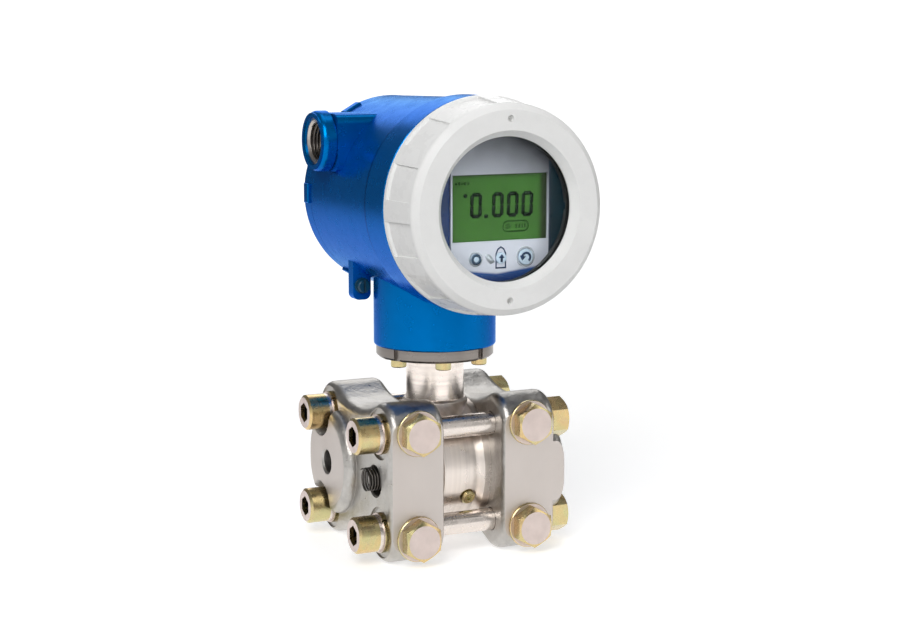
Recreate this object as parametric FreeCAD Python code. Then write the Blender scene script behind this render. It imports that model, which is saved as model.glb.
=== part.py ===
"""Differential pressure transmitter: sensor with two clamped process flanges,
round steel neck, and a two-compartment field housing with a glass-fronted display.

Millimetres, +Z up.  The origin is on the neck axis, in the plane the two flanges
stand on.  X runs along the sensor from the high side (-X) to the low side (+X).
The display looks along -Y.
"""
import FreeCAD
import Part
import math
import os

V = FreeCAD.Vector
AXIS_X = V(1, 0, 0)
AXIS_Y = V(0, 1, 0)
AXIS_Z = V(0, 0, 1)

# ---------------------------------------------------------------- sensor and flanges
flange_pitch = 54.0            # between the middles of the two flanges, along X
flange_thickness = 26.0
flange_edge_round = 4.0        # cast edge radius around the outline
clamp_bolt_y = 28.4            # clamp bolts, from the sensor axis
clamp_bolt_z = 21.8
edge_margin = 12.0             # clamp bolts to the milled front and back edge faces
lobe_radius = 13.3             # corner lobe around each clamp bolt
waist_height = 29.0            # sensor axis to the bottom of the waist between lobes

bolt_diameter = 10.0           # M10 clamp bolts
bolt_hole_clearance = 0.4
head_diameter = 16.0
head_height = 11.4
head_chamfer = 1.0
socket_flats = 8.0
socket_depth = 5.5
spring_washer_thickness = 2.2
spring_washer_diameter = 17.6
spot_face_radius = 11.2
spot_face_depth = 1.2
nut_flats = 16.0
nut_height = 9.2
nut_washer_thickness = 1.8
nut_washer_diameter = 20.0
bolt_end_past_nut = 1.2
washer_bore_clearance = 0.3
spring_washer_slit = 1.2
spring_washer_turn = 40.0      # degrees from straight up to the slit
nut_corner_turn = 30.0         # degrees, so that two corners stand upright
drill_tip_radius = 0.5         # blunt end of the cone under a hexagon socket
cut_past = 1.0                 # how far a cutting tool runs past the face it opens

port_boss_radius = 24.0        # round boss on the outer face of each flange
port_boss_height = 4.8
port_boss_y = 20.5
port_boss_round = 4.5
boss_port_diameter = 10.3
boss_port_depth = 17.0
face_port_diameter = 12.9
face_port_depth = 15.0
face_port_y = 23.5
port_chamfer = 0.8
passage_radius = 2.4

seal_land = 1.5                # between the pressure chamber and the gasket
chamber_depth = 4.5
gasket_inner_radius = 20.5
gasket_width = 3.2
gasket_thickness = 1.5
gasket_side_clearance = 0.1
diaphragm_margin = 0.8         # between the diaphragm and the chamber wall
diaphragm_thickness = 0.4
ripple_count = 3
ripple_pitch = 3.6
ripple_width = 1.4

body_radius = 27.0             # turned sensor body between the flanges
body_rim_height = 2.4          # rims at both ends, above the turned body
body_rim_width = 3.2
body_rim_slope = 3.0
neck_boss_width = 1.6          # ring of the boss that shows around the neck
neck_boss_rise = 1.2           # above the waists of the flanges
neck_bore_start = 8.0          # above the sensor axis
neck_boss_chamfer = 0.9
fill_plug_radius = 3.2
fill_plug_height = 1.6
fill_plug_flats = 2.5
fill_plug_x = 4.5
fill_plug_angle = -25.0        # degrees from the horizontal, on the front
fill_plug_chamfer = 0.5
fill_plug_socket_depth = 1.4
fill_plug_seat_gap = 0.6
fill_plug_seat_depth = 1.2
fill_plug_seat_height = 6.0    # room that the seat cutter clears above the seat

edge_bolt_z = 23.2             # tapped holes in the front and back edge faces
edge_hole_depth = 5.2
edge_hole_clearance = 0.05
edge_thread_depth = 0.75       # open tapped holes are cut at the thread's minor radius
edge_washer_bore_clearance = 1.2
edge_bolt_flats = 16.0
edge_bolt_head = 5.6
edge_bolt_thread = 4.6
edge_washer_diameter = 20.0
edge_washer_thickness = 1.2
edge_washer_chamfer = 0.3
hex_chamfer = 0.7

# ---------------------------------------------------------------- neck
neck_radius = 13.1
neck_bore_radius = 8.5
neck_clearance = 0.05          # running fit of the clamp ring on the neck
shoulder_width = 4.9
shoulder_height = 4.0
shoulder_clearance = 0.05
ring_width = 13.3
ring_height = 5.2
ring_below_collar = 49.4       # underside of the clamp ring above the sensor axis
ring_chamfer = 1.0
ring_notch_width = 3.2
ring_notch_depth = 1.5
ring_notch_count = 4
ring_notch_start = -155.0      # degrees
ring_screw_count = 6
ring_screw_inset = 7.9         # neck surface to the screw circle
ring_screw_diameter = 4.0
ring_screw_head = 7.0
ring_screw_head_height = 3.4
ring_screw_socket = 3.0
ring_screw_socket_depth = 2.0
ring_screw_chamfer = 0.4
ring_screw_start = -165.0
ring_screw_grip = 7.0          # length inside the collar
ring_screw_clearance = 0.2
ring_screw_hole_spare = 1.0    # depth of the tapped hole past the screw

# ---------------------------------------------------------------- housing
housing_rise = 120.5           # housing axis above the sensor axis
collar_overhang = 1.1          # collar past the clamp ring
collar_edge_round = 1.0
collar_bore_radius = 12.0
collar_roof = 3.0              # wall between the collar's bore and the front compartment
front_neck_radius = 41.0       # threaded neck that the display cover screws on
front_neck_wall = 5.0
front_neck_length = 12.8
neck_end_chamfer = 0.6
band_step = 0.3                # cover's rim to the raised band behind it
barrel_step = 1.2              # raised band to the barrel
barrel_taper = 1.2             # radius lost towards the rear cover
band_chamfer = 0.8
front_groove_y = -29.5
groove_width = 1.2
groove_depth = 0.9
barrel_back_y = 39.4
partition_front_y = -2.0
partition_thickness = 5.0
wire_passage_radius = 4.0
wire_passage_y = -12.0

cover_back_y = -48.4           # back rim of the display cover
cover_depth = 24.6
cover_wall = 5.5               # threaded neck to the cover's rim
cover_taper = 2.6              # radius lost from the rim to the front shoulder
cover_rim_chamfer = 0.8
cover_shoulder_drop = 2.2
cover_face_inset = 2.8         # shoulder to the flat front face
cover_shoulder_round = 2.0
cover_wall_gap = 0.4           # cover's inner shelf to the end of the housing neck
thread_clearance = 0.08
rim_gap = 0.2                  # cover rim to housing band
window_radius = 30.1
window_lip = 1.2
window_bevel_depth = 3.4
window_bevel_width = 2.6
glass_lap = 2.9                # glass behind the window's lip
glass_thickness = 4.0
glass_chamfer = 0.4
glass_clearance = 0.15
retainer_height = 2.4
retainer_width = 2.4
retainer_slot_width = 3.0
retainer_slot_depth = 1.2
spanner_hole_radius = 1.5      # two blind holes in the front face, for a pin spanner
spanner_hole_depth = 2.0
spanner_hole_lap = 7.4         # window to the middle of each hole
grip_count = 12
grip_land_degrees = 11.0       # raised land between two grip recesses
grip_recess_depth = 0.9
grip_end_length = 1.6          # sloping run-out at each end of a recess
grip_end_rise = 2.4
grip_back_margin = 3.2
grip_front_margin = 4.2

seal_stand_off = 1.0           # threaded neck to the seal
seal_width = 2.4
seal_thickness = 1.6
seal_clearance = 0.3

rear_cover_depth = 9.2
rear_cover_round = 2.2
rear_neck_step = 4.4           # barrel to the threaded neck of the rear cover
rear_neck_length = 6.0
rear_cover_wall = 2.8
rear_seal_stand_off = 0.8
rear_seal_width = 1.8
rear_seal_thickness = 1.2
rear_lug_count = 6
rear_lug_width = 9.0
rear_lug_height = 1.0
rear_lug_length = 5.0
rear_lug_inset = 0.8           # from the cover's front edge
rear_lug_root = 2.0            # sunk into the cover
rear_lug_round = 0.6
rear_lug_turn = 30.0

entry_y = 17.3                 # conduit entries, both sides
entry_rise = 25.0              # above the housing axis
entry_stand_off = 6.4          # barrel to the face of the entry
entry_radius = 13.4
entry_collar_length = 6.4
entry_step = 0.9
entry_round = 2.6
entry_foot_half = 13.0         # squared foot of the entry boss
entry_foot_inset = 6.9         # entry's face to the squared foot
entry_foot_root = 20.0         # where the foot ends inside the barrel
entry_foot_round = 4.0
bush_radius = 10.6
bush_bore_radius = 8.2
bush_length = 13.0
bush_recess = 1.4              # bush below the face of the entry
bush_chamfer = 1.0
bush_clearance = 0.03
entry_bore_radius = 7.6
plug_clearance = 0.08
plug_head_radius = 12.0
plug_head_height = 3.0
plug_chamfer = 0.6
plug_length = 11.0
plug_socket = 8.0
plug_socket_depth = 4.0

lug_stand_off = 1.7            # ground lug, from the collar to the lug's middle
lug_y = 17.2
lug_width = 8.6
lug_depth = 5.4
lug_hang = 7.4                 # barrel to the centre of the ground screw
lug_below_screw = 6.4
lug_round = 3.0
ground_screw_diameter = 4.0
ground_head_radius = 3.0
ground_head_height = 2.4
ground_head_round = 0.7
ground_washer_radius = 3.6
ground_washer_thickness = 0.8
ground_screw_length = 5.0
ground_slot_width = 0.9
ground_slot_depth = 1.1

# ---------------------------------------------------------------- display and electronics
plate_front_y = -60.6
plate_thickness = 1.0
plate_inset = 3.0              # compartment wall to the plate's round edge
plate_left_x = -21.6
plate_right_x = 25.2
lcd_width = 44.4
lcd_height = 27.8
lcd_x = 1.4
lcd_rise = 0.2
lcd_lap = 0.7                  # panel hidden behind the plate on each side
lcd_thickness = 2.2
lcd_clearance = 0.1
shell_gap = 1.6                # compartment wall to the carrier
shell_back_y = -38.0
shell_round = 1.0
button_x = (-10.2, 1.6, 13.2)
button_radius = (2.4, 2.4, 3.4)
button_drop = 21.0
button_proud = 0.8
button_flange = 0.6
button_flange_thickness = 0.9
button_travel = 0.6
button_clearance = 0.15
button_round = 0.4
module_gap = 2.0
module_groove_count = 4        # grooves down the can's side for the pull-out screws
module_groove_radius = 2.0
terminal_gap = 7.0
terminal_thickness = 13.0
terminal_flat = 20.0
terminal_screw_count = 3
terminal_screw_pitch = 14.0
terminal_screw_radius = 3.4
terminal_screw_height = 2.4
terminal_screw_shank = 2.0
terminal_screw_depth = 7.0
terminal_slot_width = 1.0
terminal_slot_depth = 1.2
terminal_barrier_thickness = 1.6
terminal_barrier_height = 4.0
terminal_barrier_length = 22.0

# ---------------------------------------------------------------- worked-out places
sensor_z = clamp_bolt_z + lobe_radius
flange_half_depth = clamp_bolt_y + edge_margin
chamber_radius = gasket_inner_radius - seal_land
diaphragm_radius = chamber_radius - diaphragm_margin
body_rim_radius = body_radius + body_rim_height
flange_inner_x = (flange_pitch - flange_thickness) / 2
flange_outer_x = (flange_pitch + flange_thickness) / 2
spot_x = flange_outer_x - spot_face_depth
bolt_radius = bolt_diameter / 2
edge_hole_radius = bolt_radius + edge_hole_clearance
bracket_hole_radius = bolt_radius - edge_thread_depth
bolt_places = [(y, sensor_z + z) for y in (clamp_bolt_y, -clamp_bolt_y)
               for z in (clamp_bolt_z, -clamp_bolt_z)]
neck_boss_radius = neck_radius + neck_boss_width
shoulder_radius = neck_radius + shoulder_width
ring_radius = neck_radius + ring_width
ring_screw_circle = neck_radius + ring_screw_inset
collar_radius = ring_radius + collar_overhang
neck_foot_z = sensor_z + waist_height + neck_boss_rise
ring_bottom_z = sensor_z + ring_below_collar
collar_bottom_z = ring_bottom_z + ring_height
shoulder_top_z = collar_bottom_z + shoulder_height
housing_z = sensor_z + housing_rise
cover_rim_radius = front_neck_radius + cover_wall
cover_shoulder_radius = cover_rim_radius - cover_taper
rim_radius = cover_rim_radius - band_step
barrel_front_radius = rim_radius - barrel_step
barrel_back_radius = barrel_front_radius - barrel_taper
rear_neck_radius = barrel_back_radius - rear_neck_step
compartment_radius = front_neck_radius - front_neck_wall
partition_back_y = partition_front_y + partition_thickness
band_front_y = cover_back_y + rim_gap
neck_end_y = cover_back_y - front_neck_length
cover_front_y = cover_back_y - cover_depth
cover_bore_radius = front_neck_radius + thread_clearance
shelf_y = neck_end_y - cover_wall_gap
bevel_bottom_y = cover_front_y + window_bevel_depth
glass_front_y = bevel_bottom_y + window_lip
glass_back_y = glass_front_y + glass_thickness
retainer_back_y = glass_back_y + retainer_height
glass_radius = window_radius + glass_lap
glass_seat_radius = glass_radius + glass_clearance
retainer_inner_radius = glass_radius - retainer_width
seal_inner_radius = front_neck_radius + seal_stand_off
rear_seal_inner_radius = rear_neck_radius + rear_seal_stand_off
rear_neck_end_y = barrel_back_y + rim_gap + rear_neck_length
rear_cover_front_y = barrel_back_y + rim_gap
rear_cover_back_y = rear_cover_front_y + rear_cover_depth
entry_z = housing_z + entry_rise
entry_reach = barrel_front_radius + entry_stand_off
bush_face_x = entry_reach - bush_recess
plug_radius = bush_bore_radius - plug_clearance
plate_back_y = plate_front_y + plate_thickness
lcd_z = housing_z + lcd_rise
button_z = housing_z - button_drop
lug_x = -(collar_radius + lug_stand_off)
ground_z = housing_z - math.sqrt(barrel_back_radius ** 2 - lug_x ** 2) - lug_hang
plate_radius = compartment_radius - plate_inset
shell_radius = compartment_radius - shell_gap
module_radius = compartment_radius - module_gap
terminal_radius = compartment_radius - terminal_gap


# ---------------------------------------------------------------- shape helpers
def cylinder(radius, start, axis, length):
    """Cylinder from the point start, running length along axis."""
    return Part.makeCylinder(radius, length, start, axis)


def tube(outer, inner, start, axis, length):
    return cylinder(outer, start, axis, length).cut(cylinder(inner, start, axis, length))


def box(x0, x1, y0, y1, z0, z1):
    return Part.makeBox(x1 - x0, y1 - y0, z1 - z0, V(x0, y0, z0))


def hexagon(flats, start, axis, length, turn=0.0):
    """Hexagonal prism measured across its flats; a corner lies along turn degrees."""
    side = axis.cross(AXIS_Z)
    if side.Length < 0.5:
        side = AXIS_X
    side.normalize()
    other = axis.cross(side)
    reach = flats / math.sqrt(3)
    points = []
    for corner in range(7):
        angle = math.radians(60 * corner + turn)
        points.append(start + side * (reach * math.cos(angle)) + other * (reach * math.sin(angle)))
    return Part.Face(Part.makePolygon(points)).extrude(axis * length)


def chamfered_hexagon(flats, start, axis, length, chamfer, turn=0.0):
    """Hexagon whose far corners are turned off by a cone, as on a machined bolt head."""
    corner_radius = flats / math.sqrt(3)
    face_radius = flats / 2 - chamfer
    slope = math.tan(math.radians(30))
    height = (corner_radius - face_radius) * slope
    straight = cylinder(corner_radius, start, axis, length - height)
    cone = Part.makeCone(corner_radius, face_radius, height, start + axis * (length - height),
                         axis)
    return hexagon(flats, start, axis, length, turn).common(straight.fuse(cone))


def revolve_about_y(points, z, angle=360.0, x=0.0):
    """Turn a closed (y, radius) outline about the line parallel to Y at height z."""
    corners = [V(x + radius, y, z) for y, radius in points]
    face = Part.Face(Part.makePolygon(corners + corners[:1]))
    return face.revolve(V(x, 0, z), AXIS_Y, angle)


def round_edges(shape, radius, wanted):
    """Fillet each edge of the shape for which wanted(edge) is true."""
    return shape.makeFillet(radius, [edge for edge in shape.Edges if wanted(edge)])


def chamfer_edges(shape, size, wanted):
    return shape.makeChamfer(size, [edge for edge in shape.Edges if wanted(edge)])


def is_circle(edge, radius, axis_value=None, index=1):
    """True for a full or part circle of this radius whose centre has the given coordinate."""
    curve = edge.Curve
    if not isinstance(curve, Part.Circle) or abs(curve.Radius - radius) > 0.01:
        return False
    return axis_value is None or abs(curve.Center[index] - axis_value) < 0.01


def union(shapes):
    shapes = list(shapes)
    return shapes[0].multiFuse(shapes[1:]) if len(shapes) > 1 else shapes[0]


def group(shapes):
    return Part.makeCompound(list(shapes))


def turned_half_way(shape):
    """The same piece fitted on the other side of the neck axis."""
    copy = shape.copy()
    copy.rotate(V(0, 0, 0), AXIS_Z, 180)
    return copy


# ---------------------------------------------------------------- sensor pieces
def flange_outline():
    """Closed outline in the YZ plane: four round lobes joined by concave waists."""
    rise = waist_height - clamp_bolt_z
    waist_radius = ((clamp_bolt_y ** 2 + rise ** 2 - lobe_radius ** 2)
                    / (2 * (lobe_radius - rise)))
    waist_centre = waist_height + waist_radius
    span = waist_radius + lobe_radius
    meet_y = clamp_bolt_y * (1 - lobe_radius / span)
    meet_z = clamp_bolt_z + lobe_radius * (waist_centre - clamp_bolt_z) / span
    side_y = clamp_bolt_y + lobe_radius
    slant = lobe_radius * math.sqrt(0.5)

    def at(y, z):
        return V(0, y, sensor_z + z)

    def arc(a, b, c):
        return Part.Arc(at(*a), at(*b), at(*c)).toShape()

    edges = []
    for sign in (1, -1):
        edges.append(arc((-sign * meet_y, sign * meet_z), (0, sign * waist_height),
                         (sign * meet_y, sign * meet_z)))
        edges.append(arc((sign * meet_y, sign * meet_z),
                         (sign * (clamp_bolt_y + slant), sign * (clamp_bolt_z + slant)),
                         (sign * side_y, sign * clamp_bolt_z)))
        edges.append(Part.LineSegment(at(sign * side_y, sign * clamp_bolt_z),
                                      at(sign * side_y, -sign * clamp_bolt_z)).toShape())
        edges.append(arc((sign * side_y, -sign * clamp_bolt_z),
                         (sign * (clamp_bolt_y + slant), -sign * (clamp_bolt_z + slant)),
                         (sign * meet_y, -sign * meet_z)))
    return Part.Wire(Part.__sortEdges__(edges))


def flange_blank():
    """Cast plate of the flange on the +X side, edges rounded, front and back milled flat."""
    wire = flange_outline()
    wire.translate(V(flange_inner_x, 0, 0))
    plate = Part.Face(wire).extrude(AXIS_X * flange_thickness)
    plate = round_edges(plate, flange_edge_round,
                        lambda e: abs(e.BoundBox.XMax - e.BoundBox.XMin) < 0.01)
    return plate.common(between_edge_faces(flange_outer_x))


def between_edge_faces(outer_x):
    """Block that trims a flange to its milled front and back edge faces."""
    reach = sensor_z + cut_past
    return box(0, outer_x + cut_past, -flange_half_depth, flange_half_depth,
               sensor_z - reach, sensor_z + reach)


def port_boss():
    """Round boss on the outer face, its rim rounded."""
    start = V(flange_inner_x + chamber_depth + cut_past, -port_boss_y, sensor_z)
    end_x = flange_outer_x + port_boss_height
    boss = cylinder(port_boss_radius, start, AXIS_X, end_x - start.x)
    return round_edges(boss, port_boss_round, lambda e: is_circle(e, port_boss_radius, end_x, 0))


def port_hole(diameter, mouth_x, y, depth):
    """Blind threaded port with a countersunk mouth, running inwards from mouth_x."""
    radius = diameter / 2
    hole = cylinder(radius, V(mouth_x - depth, y, sensor_z), AXIS_X, depth + cut_past)
    mouth = Part.makeCone(radius, radius + port_chamfer, port_chamfer,
                          V(mouth_x - port_chamfer, y, sensor_z), AXIS_X)
    return hole.fuse(mouth)


def flange():
    """Process flange as it sits on the low side: lobed plate, boss, ports and bolt holes."""
    boss_x = flange_outer_x + port_boss_height
    body = flange_blank().fuse(port_boss().common(between_edge_faces(boss_x)))
    cuts = []
    for y, z in bolt_places:
        cuts.append(cylinder(bolt_radius + bolt_hole_clearance / 2, V(0, y, z), AXIS_X, boss_x))
        cuts.append(cylinder(spot_face_radius, V(spot_x, y, z), AXIS_X, boss_x - spot_x + cut_past))
    cuts.append(port_hole(boss_port_diameter, boss_x, -port_boss_y, boss_port_depth))
    cuts.append(port_hole(face_port_diameter, flange_outer_x, face_port_y, face_port_depth))
    cuts.append(cylinder(chamber_radius, V(flange_inner_x, 0, sensor_z), AXIS_X, chamber_depth))
    cuts.append(tube(gasket_inner_radius + gasket_width + gasket_side_clearance,
                     gasket_inner_radius - gasket_side_clearance,
                     V(flange_inner_x, 0, sensor_z), AXIS_X, gasket_thickness))
    boss_link_y = -(port_boss_y - boss_port_diameter / 2 + passage_radius / 2)
    face_link_y = face_port_y - face_port_diameter / 2
    cuts.append(cylinder(passage_radius, V(flange_inner_x, boss_link_y, sensor_z), AXIS_X,
                         boss_x - boss_port_depth - flange_inner_x + passage_radius))
    cuts.append(cylinder(passage_radius, V(flange_inner_x, face_link_y, sensor_z), AXIS_X,
                         flange_outer_x - face_port_depth - flange_inner_x + passage_radius))
    return body.cut(group(cuts))


def tapped_edge_holes(x):
    """Holes in the edges of one flange: bolts fill the front ones, the back ones take a bracket."""
    holes = []
    for z in (edge_bolt_z, -edge_bolt_z):
        for side, radius in ((-1, edge_hole_radius), (1, bracket_hole_radius)):
            start = V(x, side * flange_half_depth, sensor_z + z)
            holes.append(cylinder(radius, start, AXIS_Y * -side, edge_hole_depth))
    return group(holes)


def sensor_body():
    """Turned body between the flanges, with end rims, a boss for the neck and a plug seat."""
    half = flange_inner_x
    outline = [(-half, 0), (-half, body_rim_radius)]
    slope_start = half - body_rim_width
    slope_end = slope_start - body_rim_slope
    outline += [(-slope_start, body_rim_radius), (-slope_end, body_radius),
                (slope_end, body_radius), (slope_start, body_rim_radius),
                (half, body_rim_radius), (half, 0)]
    corners = [V(x, 0, sensor_z + radius) for x, radius in outline]
    face = Part.Face(Part.makePolygon(corners + corners[:1]))
    turned = face.revolve(V(0, 0, sensor_z), AXIS_X, 360)
    boss = cylinder(neck_boss_radius, V(0, 0, sensor_z), AXIS_Z, neck_foot_z - sensor_z)
    boss = chamfer_edges(boss, neck_boss_chamfer,
                         lambda e: is_circle(e, neck_boss_radius, neck_foot_z, 2))
    inside = box(-half, half, -neck_boss_radius, neck_boss_radius, sensor_z, neck_foot_z)
    body = turned.fuse(boss.common(inside))
    cuts = [cylinder(bolt_radius + bolt_hole_clearance, V(-half - cut_past, y, z), AXIS_X,
                     2 * (half + cut_past)) for y, z in bolt_places]
    cuts.append(cylinder(neck_bore_radius, V(0, 0, sensor_z + neck_bore_start), AXIS_Z,
                         neck_foot_z))
    cuts.append(cylinder(neck_boss_radius, V(0, 0, neck_foot_z), AXIS_Z, body_rim_radius))
    cuts.append(fill_plug_seat())
    for cut in cuts:
        body = body.cut(cut)
    return body


def fill_plug_direction():
    angle = math.radians(fill_plug_angle)
    return V(0, -math.cos(angle), math.sin(angle))


def fill_plug_place(depth):
    """Point on the plug's axis, depth below the turned surface."""
    return V(fill_plug_x, 0, sensor_z) + fill_plug_direction() * (body_radius - depth)


def fill_plug_seat():
    return cylinder(fill_plug_radius + fill_plug_seat_gap, fill_plug_place(fill_plug_seat_depth),
                    fill_plug_direction(), fill_plug_seat_height)


def fill_plug():
    """Oil fill plug: low round head with a hexagon socket."""
    outward = fill_plug_direction()
    base = fill_plug_place(fill_plug_seat_depth)
    top = fill_plug_height + fill_plug_seat_depth
    head = cylinder(fill_plug_radius, base, outward, top)
    head = chamfer_edges(head, fill_plug_chamfer,
                         lambda e: isinstance(e.Curve, Part.Circle)
                         and (e.Curve.Center - base).Length > top / 2)
    socket = hexagon(fill_plug_flats, base + outward * (top - fill_plug_socket_depth), outward,
                     fill_plug_socket_depth)
    return head.cut(socket)


def gasket():
    return tube(gasket_inner_radius + gasket_width, gasket_inner_radius,
                V(flange_inner_x, 0, sensor_z), AXIS_X, gasket_thickness)


def diaphragm():
    """Thin corrugated disc on the end of the sensor body."""
    plain = cylinder(diaphragm_radius, V(flange_inner_x, 0, sensor_z), AXIS_X,
                     diaphragm_thickness)
    ripples = []
    for count in range(1, ripple_count + 1):
        middle = diaphragm_radius - ripple_pitch * count
        ripples.append(tube(middle + ripple_width / 2, middle - ripple_width / 2,
                            V(flange_inner_x + diaphragm_thickness, 0, sensor_z),
                            AXIS_X, diaphragm_thickness))
    return plain.multiFuse(ripples)


def head_seat_x():
    return -(spot_x + spring_washer_thickness)


def nut_seat_x():
    return spot_x + nut_washer_thickness


def clamp_bolt(y, z):
    """Socket head bolt through both flanges, head on the high side."""
    face_x = head_seat_x() - head_height
    end_x = nut_seat_x() + nut_height + bolt_end_past_nut
    head = cylinder(head_diameter / 2, V(face_x, y, z), AXIS_X, head_height)
    head = chamfer_edges(head, head_chamfer, lambda e: is_circle(e, head_diameter / 2, face_x, 0))
    shank = cylinder(bolt_radius, V(face_x + head_height, y, z), AXIS_X,
                     end_x - face_x - head_height)
    shank = chamfer_edges(shank, head_chamfer, lambda e: is_circle(e, bolt_radius, end_x, 0))
    socket = hexagon(socket_flats, V(face_x, y, z), AXIS_X, socket_depth, nut_corner_turn)
    tip = Part.makeCone(socket_flats / 2, drill_tip_radius, socket_flats / 4,
                        V(face_x + socket_depth, y, z), AXIS_X)
    return head.fuse(shank).cut(socket).cut(tip)


def spring_washer(y, z):
    """Split washer under a bolt head."""
    start = V(-spot_x - spring_washer_thickness, y, z)
    ring = tube(spring_washer_diameter / 2, bolt_radius + washer_bore_clearance / 2, start, AXIS_X,
                spring_washer_thickness)
    slit = box(start.x, -spot_x, y - spring_washer_slit / 2, y + spring_washer_slit / 2,
               z, z + spring_washer_diameter)
    slit.rotate(V(start.x, y, z), AXIS_X, spring_washer_turn)
    return ring.cut(slit)


def nut_washer(y, z):
    return tube(nut_washer_diameter / 2, bolt_radius + washer_bore_clearance / 2, V(spot_x, y, z),
                AXIS_X, nut_washer_thickness)


def clamp_nut(y, z):
    start = V(nut_seat_x(), y, z)
    nut = chamfered_hexagon(nut_flats, start, AXIS_X, nut_height, hex_chamfer,
                            nut_corner_turn)
    return nut.cut(cylinder(bolt_radius, start, AXIS_X, nut_height))


def edge_places():
    return [(side * flange_pitch / 2, sensor_z + z) for side in (-1, 1)
            for z in (edge_bolt_z, -edge_bolt_z)]


def edge_bolt(x, z):
    """Short hexagon bolt that blanks a tapped hole in the front edge of a flange."""
    back = V(x, -flange_half_depth - edge_washer_thickness, z)
    head = chamfered_hexagon(edge_bolt_flats, back, -AXIS_Y, edge_bolt_head, hex_chamfer,
                             nut_corner_turn)
    thread = cylinder(bolt_radius, back, AXIS_Y, edge_washer_thickness + edge_bolt_thread)
    return head.fuse(thread)


def edge_washer(x, z):
    start = V(x, -flange_half_depth - edge_washer_thickness, z)
    ring = tube(edge_washer_diameter / 2, bolt_radius + edge_washer_bore_clearance / 2, start,
                AXIS_Y, edge_washer_thickness)
    return chamfer_edges(ring, edge_washer_chamfer,
                         lambda e: is_circle(e, edge_washer_diameter / 2, start.y))


# ---------------------------------------------------------------- neck pieces
def neck_tube():
    """Hollow neck welded to the sensor body, with the shoulder that carries the housing."""
    tube_part = cylinder(neck_radius, V(0, 0, neck_foot_z), AXIS_Z, shoulder_top_z - neck_foot_z)
    shoulder_bottom = collar_bottom_z + shoulder_clearance
    shoulder = cylinder(shoulder_radius, V(0, 0, shoulder_bottom), AXIS_Z,
                        shoulder_top_z - shoulder_bottom)
    bore = cylinder(neck_bore_radius, V(0, 0, neck_foot_z), AXIS_Z, shoulder_top_z)
    return tube_part.fuse(shoulder).cut(bore)


def around_neck(count, start, radius):
    """Centres of evenly spaced features around the neck axis."""
    for step in range(count):
        angle = math.radians(start + 360.0 * step / count)
        yield V(radius * math.cos(angle), radius * math.sin(angle), 0), math.degrees(angle)


def neck_ring():
    """Clamp ring that holds the collar down on the neck's shoulder."""
    ring = tube(ring_radius, neck_radius + neck_clearance, V(0, 0, ring_bottom_z), AXIS_Z,
                ring_height)
    ring = chamfer_edges(ring, ring_chamfer, lambda e: is_circle(e, ring_radius, ring_bottom_z, 2))
    for centre, angle in around_neck(ring_notch_count, ring_notch_start, ring_radius):
        notch = box(-ring_notch_depth, ring_notch_depth, -ring_notch_width / 2,
                    ring_notch_width / 2, ring_bottom_z, collar_bottom_z)
        notch.rotate(V(0, 0, 0), AXIS_Z, angle)
        notch.translate(centre)
        ring = ring.cut(notch)
    for centre, _ in around_neck(ring_screw_count, ring_screw_start, ring_screw_circle):
        hole = cylinder(ring_screw_diameter / 2 + ring_screw_clearance,
                        centre + AXIS_Z * ring_bottom_z, AXIS_Z, ring_height)
        ring = ring.cut(hole)
    return ring


def ring_screw(centre):
    """Socket screw driven up through the clamp ring into the collar."""
    seat = centre + AXIS_Z * ring_bottom_z
    head = cylinder(ring_screw_head / 2, seat, -AXIS_Z, ring_screw_head_height)
    low_z = ring_bottom_z - ring_screw_head_height
    head = chamfer_edges(head, ring_screw_chamfer,
                         lambda e: is_circle(e, ring_screw_head / 2, low_z, 2))
    shank = cylinder(ring_screw_diameter / 2, seat, AXIS_Z, ring_height + ring_screw_grip)
    socket = hexagon(ring_screw_socket, centre + AXIS_Z * low_z, AXIS_Z, ring_screw_socket_depth)
    return head.fuse(shank).cut(socket)


# ---------------------------------------------------------------- housing
def housing_barrel():
    """Turned outside of the housing: threaded necks, front band, grooves and barrel."""
    groove_back = front_groove_y + groove_width
    outline = [
        (neck_end_y, 0), (neck_end_y, front_neck_radius - neck_end_chamfer),
        (neck_end_y + neck_end_chamfer, front_neck_radius), (band_front_y, front_neck_radius),
        (band_front_y, rim_radius - band_chamfer), (band_front_y + band_chamfer, rim_radius),
        (front_groove_y, rim_radius), (front_groove_y, barrel_front_radius - groove_depth),
        (groove_back, barrel_front_radius - groove_depth), (groove_back, barrel_front_radius),
        (barrel_back_y, barrel_back_radius), (barrel_back_y, rear_neck_radius),
        (rear_neck_end_y - neck_end_chamfer, rear_neck_radius),
        (rear_neck_end_y, rear_neck_radius - neck_end_chamfer),
        (rear_neck_end_y, 0)]
    return revolve_about_y(outline, housing_z)


def housing_collar():
    """Round collar that stands on the neck and grows into the barrel."""
    top = housing_z - barrel_back_radius / 2
    collar = cylinder(collar_radius, V(0, 0, collar_bottom_z), AXIS_Z, top - collar_bottom_z)
    return round_edges(collar, collar_edge_round,
                       lambda e: is_circle(e, collar_radius, collar_bottom_z, 2))


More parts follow.
